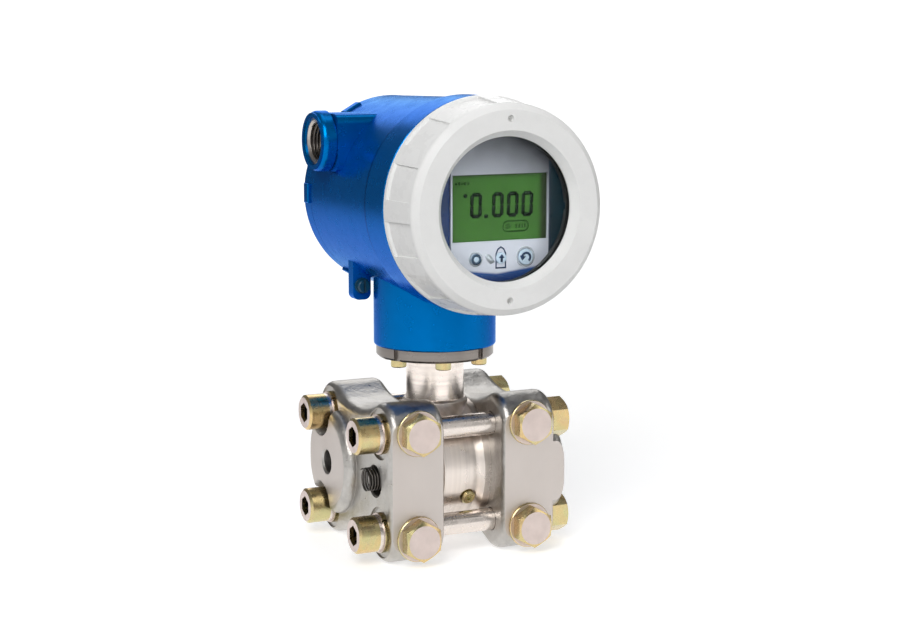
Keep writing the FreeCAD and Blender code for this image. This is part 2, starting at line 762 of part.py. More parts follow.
def entry_boss(side):
    """Conduit entry: round collar on a squared foot that runs into the barrel."""
    direction = AXIS_X * side
    face = V(side * entry_reach, entry_y, entry_z)
    collar = cylinder(entry_radius, face, -direction, entry_collar_length)
    collar = round_edges(collar, entry_round,
                         lambda e: is_circle(e, entry_radius, side * entry_reach, 0))
    neck = cylinder(entry_radius - entry_step, face, -direction, entry_reach)
    neck = neck.common(box(min(0, side * entry_reach), max(0, side * entry_reach),
                           entry_y - entry_radius, entry_y + entry_radius,
                           housing_z, entry_z + entry_radius))
    foot_ends = sorted((side * (entry_reach - entry_foot_inset), side * entry_foot_root))
    foot = box(foot_ends[0], foot_ends[1],
               entry_y - entry_foot_half, entry_y + entry_foot_half,
               entry_z - entry_foot_half, entry_z + entry_foot_half - entry_step)
    foot = round_edges(foot, entry_foot_round,
                       lambda e: e.BoundBox.XLength > max(e.BoundBox.YLength, e.BoundBox.ZLength))
    return union([collar, neck, foot])


def entry_hollow(side):
    """Bore for the bush, then the smaller bore into the rear compartment."""
    direction = AXIS_X * side
    face = V(side * entry_reach, entry_y, entry_z)
    seat = cylinder(bush_radius + bush_clearance, face, -direction, bush_length + bush_recess)
    bore = cylinder(entry_bore_radius, face, -direction, entry_reach - compartment_radius / 2)
    return seat.fuse(bore)


def ground_lug():
    """Small cast lug under the barrel that takes the ground screw."""
    lug = box(lug_x - lug_width / 2, lug_x + lug_width / 2, lug_y - lug_depth / 2,
              lug_y + lug_depth / 2, ground_z - lug_below_screw,
              housing_z - compartment_radius / 2)
    return round_edges(lug, lug_round,
                       lambda e: abs(e.BoundBox.YLength - lug_depth) < 0.01
                       and e.BoundBox.ZMax < ground_z)


def housing():
    """Cast housing: barrel, collar, entries and lug, hollowed into two compartments."""
    solid = union([housing_barrel(), housing_collar(), entry_boss(-1), entry_boss(1),
                   ground_lug()])
    front_room = cylinder(compartment_radius, V(0, neck_end_y, housing_z), AXIS_Y,
                          partition_front_y - neck_end_y)
    rear_room = cylinder(compartment_radius, V(0, partition_back_y, housing_z), AXIS_Y,
                         rear_neck_end_y - partition_back_y)
    shoulder_room = cylinder(shoulder_radius + neck_clearance, V(0, 0, collar_bottom_z), AXIS_Z,
                             shoulder_height)
    passage_top = housing_z - compartment_radius
    collar_bore = cylinder(collar_bore_radius, V(0, 0, collar_bottom_z), AXIS_Z,
                           passage_top - collar_roof - collar_bottom_z)
    wire_way = cylinder(wire_passage_radius, V(0, wire_passage_y, collar_bottom_z), AXIS_Z,
                        housing_z - collar_bottom_z - module_radius)
    ground_hole = cylinder(ground_screw_diameter / 2,
                           V(lug_x, lug_y - lug_depth / 2, ground_z), AXIS_Y, ground_screw_length)
    cuts = [front_room, rear_room, shoulder_room, collar_bore, wire_way, ground_hole,
            entry_hollow(-1), entry_hollow(1)]
    for centre, _ in around_neck(ring_screw_count, ring_screw_start, ring_screw_circle):
        cuts.append(cylinder(ring_screw_diameter / 2, centre + AXIS_Z * collar_bottom_z, AXIS_Z,
                             ring_screw_grip + ring_screw_hole_spare))
    for cut in cuts:
        solid = solid.cut(cut)
    return solid


# ---------------------------------------------------------------- covers
def cover_side_slope():
    """Radius lost by the cover for each millimetre towards its front."""
    length = cover_depth - cover_shoulder_drop
    return (cover_rim_radius - cover_shoulder_radius) / length


def front_cover():
    """Display cover: tapered ring with a bevelled window and grip recesses."""
    shoulder_y = cover_front_y + cover_shoulder_drop
    outline = [
        (cover_back_y, cover_bore_radius), (cover_back_y, cover_rim_radius - cover_rim_chamfer),
        (cover_back_y - cover_rim_chamfer, cover_rim_radius),
        (shoulder_y, cover_shoulder_radius),
        (cover_front_y, cover_shoulder_radius - cover_face_inset),
        (cover_front_y, window_radius + window_bevel_width),
        (bevel_bottom_y, window_radius), (glass_front_y, window_radius),
        (glass_front_y, glass_seat_radius), (shelf_y, glass_seat_radius),
        (shelf_y, cover_bore_radius)]
    cover = revolve_about_y(outline, housing_z)
    cover = round_edges(cover, cover_shoulder_round,
                        lambda e: is_circle(e, cover_shoulder_radius, shoulder_y))
    groove = tube(seal_inner_radius + seal_width + seal_clearance,
                  seal_inner_radius - seal_clearance,
                  V(0, cover_back_y - (seal_thickness - rim_gap), housing_z), AXIS_Y,
                  seal_thickness)
    return cover.cut(groove).cut(group(grip_recesses() + spanner_holes()))


def spanner_holes():
    """Blind holes above and below the window, each with a drill point."""
    holes = []
    for side in (-1, 1):
        mouth = V(0, cover_front_y, housing_z + side * (window_radius + spanner_hole_lap))
        end = mouth + AXIS_Y * spanner_hole_depth
        point = Part.makeCone(spanner_hole_radius, 0, spanner_hole_radius / 2, end, AXIS_Y)
        holes.append(cylinder(spanner_hole_radius, mouth, AXIS_Y, spanner_hole_depth).fuse(point))
    return holes


def grip_recesses():
    """Shallow hand-grip recesses around the side of the cover, between raised lands."""
    back = cover_back_y - grip_back_margin
    front = cover_front_y + grip_front_margin
    slope = cover_side_slope()
    back_radius = cover_rim_radius - grip_recess_depth - slope * (cover_back_y - back)
    front_radius = cover_rim_radius - grip_recess_depth - slope * (cover_back_y - front)
    sweep = 360.0 / grip_count - grip_land_degrees
    shapes = []
    for step in range(grip_count):
        tool = revolve_about_y(
            [(back + grip_end_length, back_radius + grip_end_rise), (back, back_radius),
             (front, front_radius), (front - grip_end_length, front_radius + grip_end_rise)],
            housing_z, sweep)
        tool.rotate(V(0, 0, housing_z), AXIS_Y, grip_land_degrees / 2 + 360.0 / grip_count * step)
        shapes.append(tool)
    return shapes


def window_glass():
    glass = cylinder(glass_radius, V(0, glass_front_y, housing_z), AXIS_Y, glass_thickness)
    return chamfer_edges(glass, glass_chamfer, lambda e: is_circle(e, glass_radius))


def glass_retainer():
    """Threaded ring that holds the glass against the window lip."""
    ring = tube(glass_radius, retainer_inner_radius, V(0, glass_back_y, housing_z), AXIS_Y,
                retainer_height)
    for turn in (0, 90):
        slot = box(-glass_radius, glass_radius, retainer_back_y - retainer_slot_depth,
                   retainer_back_y, housing_z - retainer_slot_width / 2,
                   housing_z + retainer_slot_width / 2)
        slot.rotate(V(0, 0, housing_z), AXIS_Y, turn)
        ring = ring.cut(slot)
    return ring


def front_cover_seal():
    return tube(seal_inner_radius + seal_width, seal_inner_radius,
                V(0, band_front_y - seal_thickness, housing_z), AXIS_Y, seal_thickness)


def rear_cover():
    """Blind cover of the terminal compartment, with grip lugs around its edge."""
    bore = rear_neck_radius + thread_clearance
    inner_y = rear_cover_back_y - rear_cover_wall
    outline = [
        (rear_cover_front_y, bore), (rear_cover_front_y, barrel_back_radius),
        (rear_cover_back_y, barrel_back_radius), (rear_cover_back_y, 0),
        (inner_y, 0), (inner_y, bore)]
    cover = revolve_about_y(outline, housing_z)
    cover = round_edges(cover, rear_cover_round,
                        lambda e: is_circle(e, barrel_back_radius, rear_cover_back_y))
    lugs = []
    for step in range(rear_lug_count):
        front = rear_cover_front_y + rear_lug_inset
        lug = box(-rear_lug_width / 2, rear_lug_width / 2, front, front + rear_lug_length,
                  housing_z + barrel_back_radius - rear_lug_root,
                  housing_z + barrel_back_radius + rear_lug_height)
        lug = round_edges(lug, rear_lug_round,
                          lambda e: e.BoundBox.ZMin > housing_z + barrel_back_radius)
        lug.rotate(V(0, 0, housing_z), AXIS_Y, rear_lug_turn + 360.0 / rear_lug_count * step)
        lugs.append(lug)
    cover = cover.multiFuse(lugs)
    groove = tube(rear_seal_inner_radius + rear_seal_width + seal_clearance,
                  rear_seal_inner_radius - seal_clearance,
                  V(0, rear_cover_front_y - rim_gap, housing_z), AXIS_Y, rear_seal_thickness)
    return cover.cut(groove)


def rear_cover_seal():
    return tube(rear_seal_inner_radius + rear_seal_width, rear_seal_inner_radius,
                V(0, barrel_back_y, housing_z), AXIS_Y, rear_seal_thickness)


# ---------------------------------------------------------------- entries and ground screw
def conduit_bush(side):
    """Threaded steel bush in a conduit entry."""
    direction = AXIS_X * side
    outer_x = side * bush_face_x
    start = V(outer_x, entry_y, entry_z)
    bush = cylinder(bush_radius, start, -direction, bush_length)
    bush = bush.cut(cylinder(bush_bore_radius, start, -direction, bush_length))
    return chamfer_edges(bush, bush_chamfer,
                         lambda e: is_circle(e, bush_bore_radius, outer_x, 0))


def conduit_plug():
    """Blanking plug in the entry of the low side."""
    seat = V(entry_reach, entry_y, entry_z)
    head = cylinder(plug_head_radius, seat, AXIS_X, plug_head_height)
    head = chamfer_edges(head, plug_chamfer,
                         lambda e: is_circle(e, plug_head_radius, seat.x + plug_head_height, 0))
    shank = cylinder(plug_radius, seat, -AXIS_X, plug_length)
    socket = hexagon(plug_socket, seat + AXIS_X * (plug_head_height - plug_socket_depth), AXIS_X,
                     plug_socket_depth)
    return head.fuse(shank).cut(socket)


def ground_face_y():
    return lug_y - lug_depth / 2


def ground_washer():
    start = V(lug_x, ground_face_y() - ground_washer_thickness, ground_z)
    return tube(ground_washer_radius, ground_screw_diameter / 2, start, AXIS_Y,
                ground_washer_thickness)


def ground_screw():
    """Slotted screw in the ground lug."""
    seat = V(lug_x, ground_face_y() - ground_washer_thickness, ground_z)
    head = cylinder(ground_head_radius, seat, -AXIS_Y, ground_head_height)
    head = round_edges(head, ground_head_round,
                       lambda e: is_circle(e, ground_head_radius, seat.y - ground_head_height))
    shank = cylinder(ground_screw_diameter / 2, seat, AXIS_Y, ground_screw_length)
    slot = box(lug_x - ground_slot_width / 2, lug_x + ground_slot_width / 2,
               seat.y - ground_head_height, seat.y - ground_head_height + ground_slot_depth,
               ground_z - ground_head_radius, ground_z + ground_head_radius)
    return head.fuse(shank).cut(slot)


# ---------------------------------------------------------------- display and electronics
def display_plate():
    """Face plate: round plate cut straight at both sides, with the display window."""
    disc = cylinder(plate_radius, V(0, plate_front_y, housing_z), AXIS_Y, plate_thickness)
    plate = disc.common(box(plate_left_x, plate_right_x, plate_front_y, plate_back_y,
                            housing_z - plate_radius, housing_z + plate_radius))
    window = box(lcd_x - lcd_width / 2, lcd_x + lcd_width / 2, plate_front_y,
                 plate_back_y, lcd_z - lcd_height / 2, lcd_z + lcd_height / 2)
    holes = [cylinder(radius + button_clearance, V(x, plate_front_y, button_z), AXIS_Y,
                      plate_thickness) for x, radius in zip(button_x, button_radius)]
    return plate.cut(window).cut(group(holes))


def lcd_panel():
    half_width = lcd_width / 2 + lcd_lap
    half_height = lcd_height / 2 + lcd_lap
    return box(lcd_x - half_width, lcd_x + half_width, plate_back_y, plate_back_y + lcd_thickness,
               lcd_z - half_height, lcd_z + half_height)


def display_shell():
    """Moulded carrier of the display, with the panel's bed and the buttons' pockets."""
    shell = cylinder(shell_radius, V(0, plate_back_y, housing_z), AXIS_Y,
                     shell_back_y - plate_back_y)
    shell = round_edges(shell, shell_round, lambda e: is_circle(e, shell_radius, plate_back_y))
    half_width = lcd_width / 2 + lcd_lap + lcd_clearance
    half_height = lcd_height / 2 + lcd_lap + lcd_clearance
    bed = box(lcd_x - half_width, lcd_x + half_width, plate_back_y,
              plate_back_y + lcd_thickness, lcd_z - half_height, lcd_z + half_height)
    pocket_depth = button_flange_thickness + button_travel + 2 * button_clearance
    pockets = [cylinder(radius + button_flange + button_clearance,
                        V(x, plate_back_y, button_z), AXIS_Y, pocket_depth)
               for x, radius in zip(button_x, button_radius)]
    return shell.cut(group([bed] + pockets))


def button(x, radius):
    """Push button: domed stem through the plate with a keeper flange behind it."""
    front = plate_front_y - button_proud
    flange_y = plate_back_y + button_clearance
    stem = cylinder(radius, V(x, front, button_z), AXIS_Y, flange_y - front)
    stem = round_edges(stem, button_round, lambda e: is_circle(e, radius, front))
    keeper = cylinder(radius + button_flange, V(x, flange_y, button_z), AXIS_Y,
                      button_flange_thickness)
    return stem.fuse(keeper)


def electronics_module():
    """Potted electronics can between the display and the partition."""
    can = cylinder(module_radius, V(0, shell_back_y, housing_z), AXIS_Y,
                   partition_front_y - shell_back_y)
    ways = []
    for step in range(module_groove_count):
        angle = 2 * math.pi * (step + 0.5) / module_groove_count
        middle = V(module_radius * math.cos(angle), shell_back_y,
                   housing_z + module_radius * math.sin(angle))
        ways.append(cylinder(module_groove_radius, middle, AXIS_Y, partition_front_y - shell_back_y))
    return can.cut(group(ways))


def terminal_places():
    first = -(terminal_screw_count - 1) / 2 * terminal_screw_pitch
    return [first + terminal_screw_pitch * step for step in range(terminal_screw_count)]


def terminal_block():
    """Moulded terminal block on the back of the partition, with barriers between screws."""
    disc = cylinder(terminal_radius, V(0, partition_back_y, housing_z), AXIS_Y, terminal_thickness)
    top_y = partition_back_y + terminal_thickness
    block = disc.common(box(-terminal_radius, terminal_radius, partition_back_y, top_y,
                            housing_z - terminal_flat, housing_z + terminal_flat))
    walls = []
    for x in terminal_places()[:-1]:
        middle = x + terminal_screw_pitch / 2
        walls.append(box(middle - terminal_barrier_thickness / 2,
                         middle + terminal_barrier_thickness / 2, partition_back_y,
                         top_y + terminal_barrier_height,
                         housing_z - terminal_barrier_length / 2,
                         housing_z + terminal_barrier_length / 2))
    holes = [cylinder(terminal_screw_shank, V(x, top_y - terminal_screw_depth, housing_z), AXIS_Y,
                      terminal_screw_depth) for x in terminal_places()]
    return block.multiFuse(walls).cut(group(holes))


def terminal_screw(x):
    top_y = partition_back_y + terminal_thickness
    head = cylinder(terminal_screw_radius, V(x, top_y, housing_z), AXIS_Y, terminal_screw_height)
    shank = cylinder(terminal_screw_shank, V(x, top_y - terminal_screw_depth, housing_z), AXIS_Y,
                     terminal_screw_depth)
    slot = box(x - terminal_screw_radius, x + terminal_screw_radius,
               top_y + terminal_screw_height - terminal_slot_depth,
               top_y + terminal_screw_height,
               housing_z - terminal_slot_width / 2, housing_z + terminal_slot_width / 2)
    return head.fuse(shank).cut(slot)


# ---------------------------------------------------------------- all nodes
def all_nodes():
    casting = flange()
    nodes = {
        "sensor_body": sensor_body(),
        "fill_plug": fill_plug(),
        "flange_low": casting.cut(tapped_edge_holes(flange_pitch / 2)),
        "flange_high": turned_half_way(casting).cut(tapped_edge_holes(-flange_pitch / 2)),
        "flange_gaskets": group([gasket(), turned_half_way(gasket())]),
        "isolating_diaphragms": group([diaphragm(), turned_half_way(diaphragm())]),
        "clamp_bolts": group([clamp_bolt(y, z) for y, z in bolt_places]),
        "spring_washers": group([spring_washer(y, z) for y, z in bolt_places]),
        "nut_washers": group([nut_washer(y, z) for y, z in bolt_places]),
        "clamp_nuts": group([clamp_nut(y, z) for y, z in bolt_places]),
        "edge_bolts": group([edge_bolt(x, z) for x, z in edge_places()]),
        "edge_washers": group([edge_washer(x, z) for x, z in edge_places()]),
        "neck_tube": neck_tube(),
        "neck_ring": neck_ring(),
        "neck_ring_screws": group([ring_screw(centre) for centre, _ in around_neck(
            ring_screw_count, ring_screw_start, ring_screw_circle)]),
        "housing": housing(),
        "front_cover": front_cover(),
        "window_glass": window_glass(),
        "glass_retainer": glass_retainer(),
        "front_cover_seal": front_cover_seal(),
        "rear_cover": rear_cover(),
        "rear_cover_seal": rear_cover_seal(),
        "conduit_bushes": group([conduit_bush(-1), conduit_bush(1)]),
        "conduit_plug": conduit_plug(),
        "ground_screw": ground_screw(),
        "ground_washer": ground_washer(),
        "display_plate": display_plate(),
        "lcd_panel": lcd_panel(),
        "display_shell": display_shell(),
        "electronics_module": electronics_module(),
        "terminal_block": terminal_block(),
        "terminal_screws": group([terminal_screw(x) for x in terminal_places()]),
    }
    names = ("button_left", "button_middle", "button_right")
    for name, x, radius in zip(names, button_x, button_radius):
        nodes[name] = button(x, radius)
    return nodes


def main():
    os.makedirs("parts", exist_ok=True)
    for name, shape in all_nodes().items():
        shape.exportStep("parts/" + name + ".step")


main()
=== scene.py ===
"""A differential pressure transmitter: finishes, threads, display marks and a studio.

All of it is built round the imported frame, in metres.
"""

import math

import bmesh
import bpy
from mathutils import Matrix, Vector


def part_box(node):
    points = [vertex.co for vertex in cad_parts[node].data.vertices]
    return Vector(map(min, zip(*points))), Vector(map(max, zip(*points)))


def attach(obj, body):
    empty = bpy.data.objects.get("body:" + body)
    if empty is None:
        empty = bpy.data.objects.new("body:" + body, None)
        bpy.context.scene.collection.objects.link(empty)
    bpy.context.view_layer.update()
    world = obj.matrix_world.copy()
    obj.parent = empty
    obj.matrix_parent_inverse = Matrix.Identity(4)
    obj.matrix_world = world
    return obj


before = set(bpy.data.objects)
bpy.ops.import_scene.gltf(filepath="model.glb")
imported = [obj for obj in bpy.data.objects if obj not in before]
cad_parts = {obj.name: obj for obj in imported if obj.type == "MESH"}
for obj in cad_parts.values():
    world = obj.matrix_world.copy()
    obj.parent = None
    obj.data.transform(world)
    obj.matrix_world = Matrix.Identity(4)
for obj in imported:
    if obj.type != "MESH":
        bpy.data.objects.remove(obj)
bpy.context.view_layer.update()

bl_info = {
    "name": "Pressure Transmitter",
    "version": (1, 0, 0),
    "blender": (4, 5, 0),
    "location": "View3D > Sidebar > Transmitter",
    "description": "Finishes and small parts of a differential pressure transmitter",
    "category": "Object",
}

MM = 0.001


# ---------------------------------------------------------------- places read from the frame
def middle(node):
    """The middle of a node's box."""
    low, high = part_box(node)
    return (low + high) / 2


COVER_LOW, COVER_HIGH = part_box("front_cover")
LCD_LOW, LCD_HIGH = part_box("lcd_panel")
PLATE_LOW, PLATE_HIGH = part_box("display_plate")
FLANGE_LOW, FLANGE_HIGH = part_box("flange_low")
BUSH_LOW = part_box("conduit_bushes")[0]
BUSH_AXIS = middle("conduit_bushes")
CLAMP_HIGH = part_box("clamp_bolts")[1]
SENSOR_AXIS = Vector((0, 0, middle("sensor_body").z))
HOUSING_AXIS = Vector((0, 0, middle("front_cover").z))
KEY_ROW = middle("button_left").z
SIDE_FACE = abs(FLANGE_HIGH.x)
EDGE_FACE = (FLANGE_HIGH.y - FLANGE_LOW.y) / 2

# ---------------------------------------------------------------- sizes that the finishes follow
FACE_TOLERANCE = 0.3 * MM           # how near a point lies to a milled plane to count as milled
FLAT_FACING = 0.985                 # least share of the normal that points along a milled face's axis
CLAMP_HEAD_RADIUS = 8 * MM
CLAMP_SOCKET_RADIUS = 4.7 * MM
CLAMP_SOCKET_START = 0.4 * MM       # below the head's end
CLAMP_HEAD_SEAT = 2 * MM            # below the flange's side face
CLAMP_Y = CLAMP_HIGH.y - CLAMP_HEAD_RADIUS
CLAMP_Z = CLAMP_HIGH.z - SENSOR_AXIS.z - CLAMP_HEAD_RADIUS
CLAMP_END = CLAMP_HIGH.x
NECK_THREAD_ROOT = 40.5 * MM
# the cover's inside within this radius is painted near black as painted shade
COVER_SHADE_RADIUS = 40.5 * MM            # radius of the cover's dark inside
NECK_THREAD_PITCH = 2.0 * MM
GROOVE_Y = COVER_HIGH.y + 18.9 * MM
# where the painted shade behind the front band's groove fades out, and the radii of the barrel's skin that
# carry it
GROOVE_SHADE_FADE = (3.2 * MM, 4.4 * MM)  # behind GROOVE_Y
GROOVE_SHADE_SKIN = (46.0 * MM, 47.5 * MM)
COVER_LIP = 4.5 * MM                # depth of the window's lip, painted as the outside
DOT_PITCH = 0.4 * MM                # of the display's dot grid

# ---------------------------------------------------------------- colours that are seldom changed
# painted shade on the front cover's inside
COVER_INSIDE_SHADE = (0.018, 0.020, 0.024)
ENAMEL_TINT = (0.0, 0.45, 0.95)
ZINC_COPPER = (0.52, 0.36, 0.25)
# pale edges of the zinc: wear, and a painted highlight
ZINC_EDGE = (0.74, 0.68, 0.55)
# painted shade inside the sockets of the clamp bolts
SOCKET_SHADE = (0.035, 0.030, 0.026)
GLASS_TINT = (0.93, 0.97, 0.96)
SHADOW_TINT = (0.95, 0.98, 0.97, 1)
# painted shade on the carrier's upper right
CARRIER_SHADE_TEAL = (0.0045, 0.0185, 0.027)
CARRIER_CLOUD = (0.010, 0.035, 0.055)
PLATE_RIM = (0.028, 0.040, 0.060)
PLATE_FOOT_DEEP = (0.004, 0.020, 0.11)
PLATE_FOOT = (0.010, 0.060, 0.25)
# painted shadow of the display's frame
FRAME_SHADOW = (0.010, 0.012, 0.004)
PAPER = (0.80, 0.80, 0.80)


# ---------------------------------------------------------------- settings
def length(name, description, default, **more):
    """A size in metres, shown in the scene's own unit."""
    return bpy.props.FloatProperty(name=name, description=description, default=default,
                                   unit="LENGTH", precision=5, **more)


def colour(name, description, default):
    """A linear colour."""
    return bpy.props.FloatVectorProperty(name=name, description=description, default=default,
                                         subtype="COLOR", size=3, min=0, max=1)


def share(name, description, default):
    """A number from 0 to 1."""
    return bpy.props.FloatProperty(name=name, description=description, default=default,
                                   subtype="FACTOR", min=0, max=1)


class TransmitterFinishes(bpy.types.PropertyGroup):
    """Colours and roughness of the finishes."""

    blue: colour("Blue paint", "Housing and rear cover", (0.0, 0.132, 0.41))
    white: colour("White paint", "Display cover", (0.90, 0.90, 0.89))
    cast: colour("Cast steel", "As-cast faces of the flanges", (0.42, 0.405, 0.385))
    milled: colour("Milled steel", "Milled faces of the flanges", (0.53, 0.485, 0.455))
    turned: colour("Turned steel", "Sensor body, neck and rings", (0.70, 0.635, 0.585))
    zinc_gold: colour("Zinc, gold", "Yellow zinc plate at its warmest", (0.60, 0.44, 0.21))
    zinc_olive: colour("Zinc, olive", "Yellow zinc plate at its greenest", (0.50, 0.46, 0.235))
    zinc_pale: colour("Zinc, pale", "End faces, where the plate is thin", (0.57, 0.485, 0.45))
    plate: colour("Face plate", "Printed plate round the display", (0.33, 0.325, 0.375))
    # the display colour also glows faintly, as painted light
    display: colour("Display", "Lit display panel", (0.030, 0.100, 0.013))
    digit: colour("Digits", "Dark segments of the display", (0.001, 0.018, 0.002))
    carrier: colour("Carrier", "Moulded carrier behind the plate", (0.006, 0.034, 0.165))
    paint_roughness: share("Paint roughness", "Roughness of the glossy paint", 0.24)
    steel_roughness: share("Steel roughness", "Roughness of the turned steel", 0.30)


class TransmitterThreads(bpy.types.PropertyGroup):
    """Threads cut in the open holes."""

    entry_pitch: length("Entry pitch", "Thread pitch of the cable entries", 1.5 * MM)
    port_pitch: length("Port pitch", "Thread pitch of the pressure ports", 1.3 * MM)
    depth: length("Thread depth", "Height of a thread above the bore", 0.55 * MM)


class TransmitterDisplay(bpy.types.PropertyGroup):
    """Digits and marks on the display and the keys."""

    stroke: length("Segment width", "Width of a digit's segment", 1.65 * MM)
    digit_height: length("Digit height", "Height of a digit", 10.6 * MM)
    digit_width: length("Digit width", "Width of a digit", 5.5 * MM)
    raise_by: length("Mark height", "How far the marks stand above their face", 0.06 * MM)


class TransmitterStage(bpy.types.PropertyGroup):
    """Floor, lamps and camera."""

    key_power: bpy.props.FloatProperty(name="Key lamp", description="Power of the key lamp",
                                       default=13.2, min=0, unit="POWER")
    fill_power: bpy.props.FloatProperty(name="Fill lamp", description="Power of the fill lamp",
                                        default=4.6, min=0, unit="POWER")
    sky: share("Surroundings", "Light from the room itself", 1.0)
    lens: length("Lens", "Focal length of the camera", 72.84 * MM)


# ---------------------------------------------------------------- node helpers
def node(tree, kind, sockets=None, **settings):
    """A node with its settings, and its sockets set or linked."""
    made = tree.nodes.new("ShaderNode" + kind)
    for name, value in settings.items():
        setattr(made, name, value)
    for name, value in (sockets or {}).items():
        if isinstance(value, bpy.types.NodeSocket):
            tree.links.new(value, made.inputs[name])
        else:
            made.inputs[name].default_value = value
    return made


def math_node(tree, operation, a, b=0.0):
    """One sum, with numbers or sockets."""
    return node(tree, "Math", {0: a, 1: b}, operation=operation).outputs[0]


def ramp(tree, value, low, high, to_low=0.0, to_high=1.0):
    """A value mapped from one range to another, kept inside it."""
    return node(tree, "MapRange", {"Value": value, "From Min": low, "From Max": high,
                                   "To Min": to_low, "To Max": to_high}).outputs["Result"]


def mix_colour(tree, factor, a, b):
    """Two colours mixed."""
    made = tree.nodes.new("ShaderNodeMix")
    made.data_type = "RGBA"
    for index, value in ((0, factor), (6, a), (7, b)):
        if isinstance(value, bpy.types.NodeSocket):
            tree.links.new(value, made.inputs[index])
        elif index:
            made.inputs[index].default_value = (*value[:3], 1)
        else:
            made.inputs[index].default_value = value
    return made.outputs[2]


def noise(tree, place, scale, detail=3.0, roughness=0.55, distortion=0.0):
    """Fractal noise at that many lumps to the metre."""
    return node(tree, "TexNoise", {"Vector": place, "Scale": scale, "Detail": detail,
                                   "Roughness": roughness, "Distortion": distortion}).outputs["Fac"]


class Finish:
    """A material being built: its tree, its shader and the coordinates that its nodes read."""

    def __init__(self, name):
        self.material = bpy.data.materials.new(name)
        self.material.use_nodes = True
        self.tree = self.material.node_tree
        self.shader = self.tree.nodes["Principled BSDF"]
        self.out = self.tree.nodes["Material Output"]
        self.place = node(self.tree, "TexCoord").outputs["Object"]
        split = node(self.tree, "SeparateXYZ", {0: self.place})
        self.x, self.y, self.z = split.outputs[:3]
        facing = node(self.tree, "TexCoord").outputs["Normal"]
        turn = node(self.tree, "SeparateXYZ", {0: facing})
        self.nx, self.ny, self.nz = turn.outputs[:3]
        self.height = None

    def set(self, **sockets):
        """Sets or links the shader's own sockets, by name with _ for a space."""
        for name, value in sockets.items():
            socket = self.shader.inputs[name.replace("_", " ")]
            if isinstance(value, bpy.types.NodeSocket):
                self.tree.links.new(value, socket)
            elif hasattr(value, "__len__") and len(value) == 3:
                socket.default_value = (*value, 1)
            else:
                socket.default_value = value
        return self

    def math(self, operation, a, b=0.0):
        """One sum, with numbers or sockets."""
        return math_node(self.tree, operation, a, b)

    def noise(self, scale, detail=3.0, roughness=0.55, distortion=0.0, place=None):
        """Fractal noise at that many lumps to the metre."""
        return noise(self.tree, place or self.place, scale, detail, roughness, distortion)

    def ramp(self, value, low, high, to_low=0.0, to_high=1.0):
        """A value mapped from one range to another, kept inside it."""
        return ramp(self.tree, value, low, high, to_low, to_high)

    def spread(self, value, to_low=0.0, to_high=1.0):
        """The middle stretch of a noise, spread over a range."""
        return self.ramp(value, 0.3, 0.7, to_low, to_high)

    def mix(self, factor, a, b):
        """Two colours mixed."""
        return mix_colour(self.tree, factor, a, b)

    def stain(self, amount, mask, under, over):
        """A colour laid over another where the mask is high, up to an amount."""
        return self.mix(self.math("MULTIPLY", mask, amount), under, over)

    def stretched(self, x, y, z):
        """The coordinates scaled apart, for brushed lines."""
        return node(self.tree, "Mapping", {"Vector": self.place, "Scale": (x, y, z)}).outputs[0]

    def radius_from(self, first, second, at_first=0.0, at_second=0.0):
        """Distance from an axis along the third direction."""
        a = self.math("SUBTRACT", first, at_first)
        b = self.math("SUBTRACT", second, at_second)
        return self.math("SQRT", self.math("ADD", self.math("MULTIPLY", a, a),
                                           self.math("MULTIPLY", b, b)))

    def lines(self, value, per_metre, detail=2.0):
        """Uneven tool lines along one value."""
        return node(self.tree, "TexNoise", {"W": self.math("MULTIPLY", value, per_metre),
                                            "Scale": 1.0, "Detail": detail},
                    noise_dimensions="1D").outputs["Fac"]

    def bump(self, height, distance, strength=1.0):
        """Adds a height map to the bump, in metres."""
        sockets = {"Height": height, "Distance": distance, "Strength": strength}
        if self.height is not None:
            sockets["Normal"] = self.height
        self.height = node(self.tree, "Bump", sockets).outputs[0]
        self.tree.links.new(self.height, self.shader.inputs["Normal"])
        return self

    def rounded(self, radius):
        """The normal rounded over sharp edges, the surface's own normal, and how far they differ."""
        over = node(self.tree, "Bevel", {"Radius": radius}, samples=4).outputs[0]
        own = node(self.tree, "NewGeometry").outputs["Normal"]
        dot = node(self.tree, "VectorMath", {0: over, 1: own}, operation="DOT_PRODUCT").outputs["Value"]
        return over, own, self.math("SUBTRACT", 1.0, dot)

    def soften(self, radius):
        """Rounds sharp edges in the shading by a small radius, and leaves smooth faces alone."""
        over, own, gap = self.rounded(radius)
        mixed = self.tree.nodes.new("ShaderNodeMix")
        mixed.data_type = "VECTOR"
        self.tree.links.new(self.ramp(gap, 0.03, 0.10), mixed.inputs[0])
        self.tree.links.new(own, mixed.inputs[4])
        self.tree.links.new(over, mixed.inputs[5])
        self.height = mixed.outputs[1]
        self.tree.links.new(self.height, self.shader.inputs["Normal"])
        return self

    def edge(self, radius):
        """Near 1 on sharp edges and 0 on flats and smooth curves."""
        return self.ramp(self.rounded(radius)[2], 0.05, 0.30)


def tone(value, factor):
    """A colour made lighter or darker."""
    return tuple(min(1.0, c * factor) for c in value)


# ---------------------------------------------------------------- finishes
def from_housing_axis(f):
    """Distance from the axis of the housing and its covers."""
    return f.radius_from(f.x, f.z, 0, HOUSING_AXIS.z)


def gloss_paint(name, base, roughness):
    """Sprayed enamel on a casting, its shade and gloss a little uneven, with faint orange peel."""
    f = Finish(name)
    f.shade = f.mix(f.spread(f.noise(28, 3)), tone(base, 0.96), tone(base, 1.03))
    f.set(IOR=1.3, Roughness=f.spread(f.noise(160, 4), roughness * 0.8, roughness * 1.25))
    f.bump(f.noise(420, 1), 0.00001, 0.3)
    return f


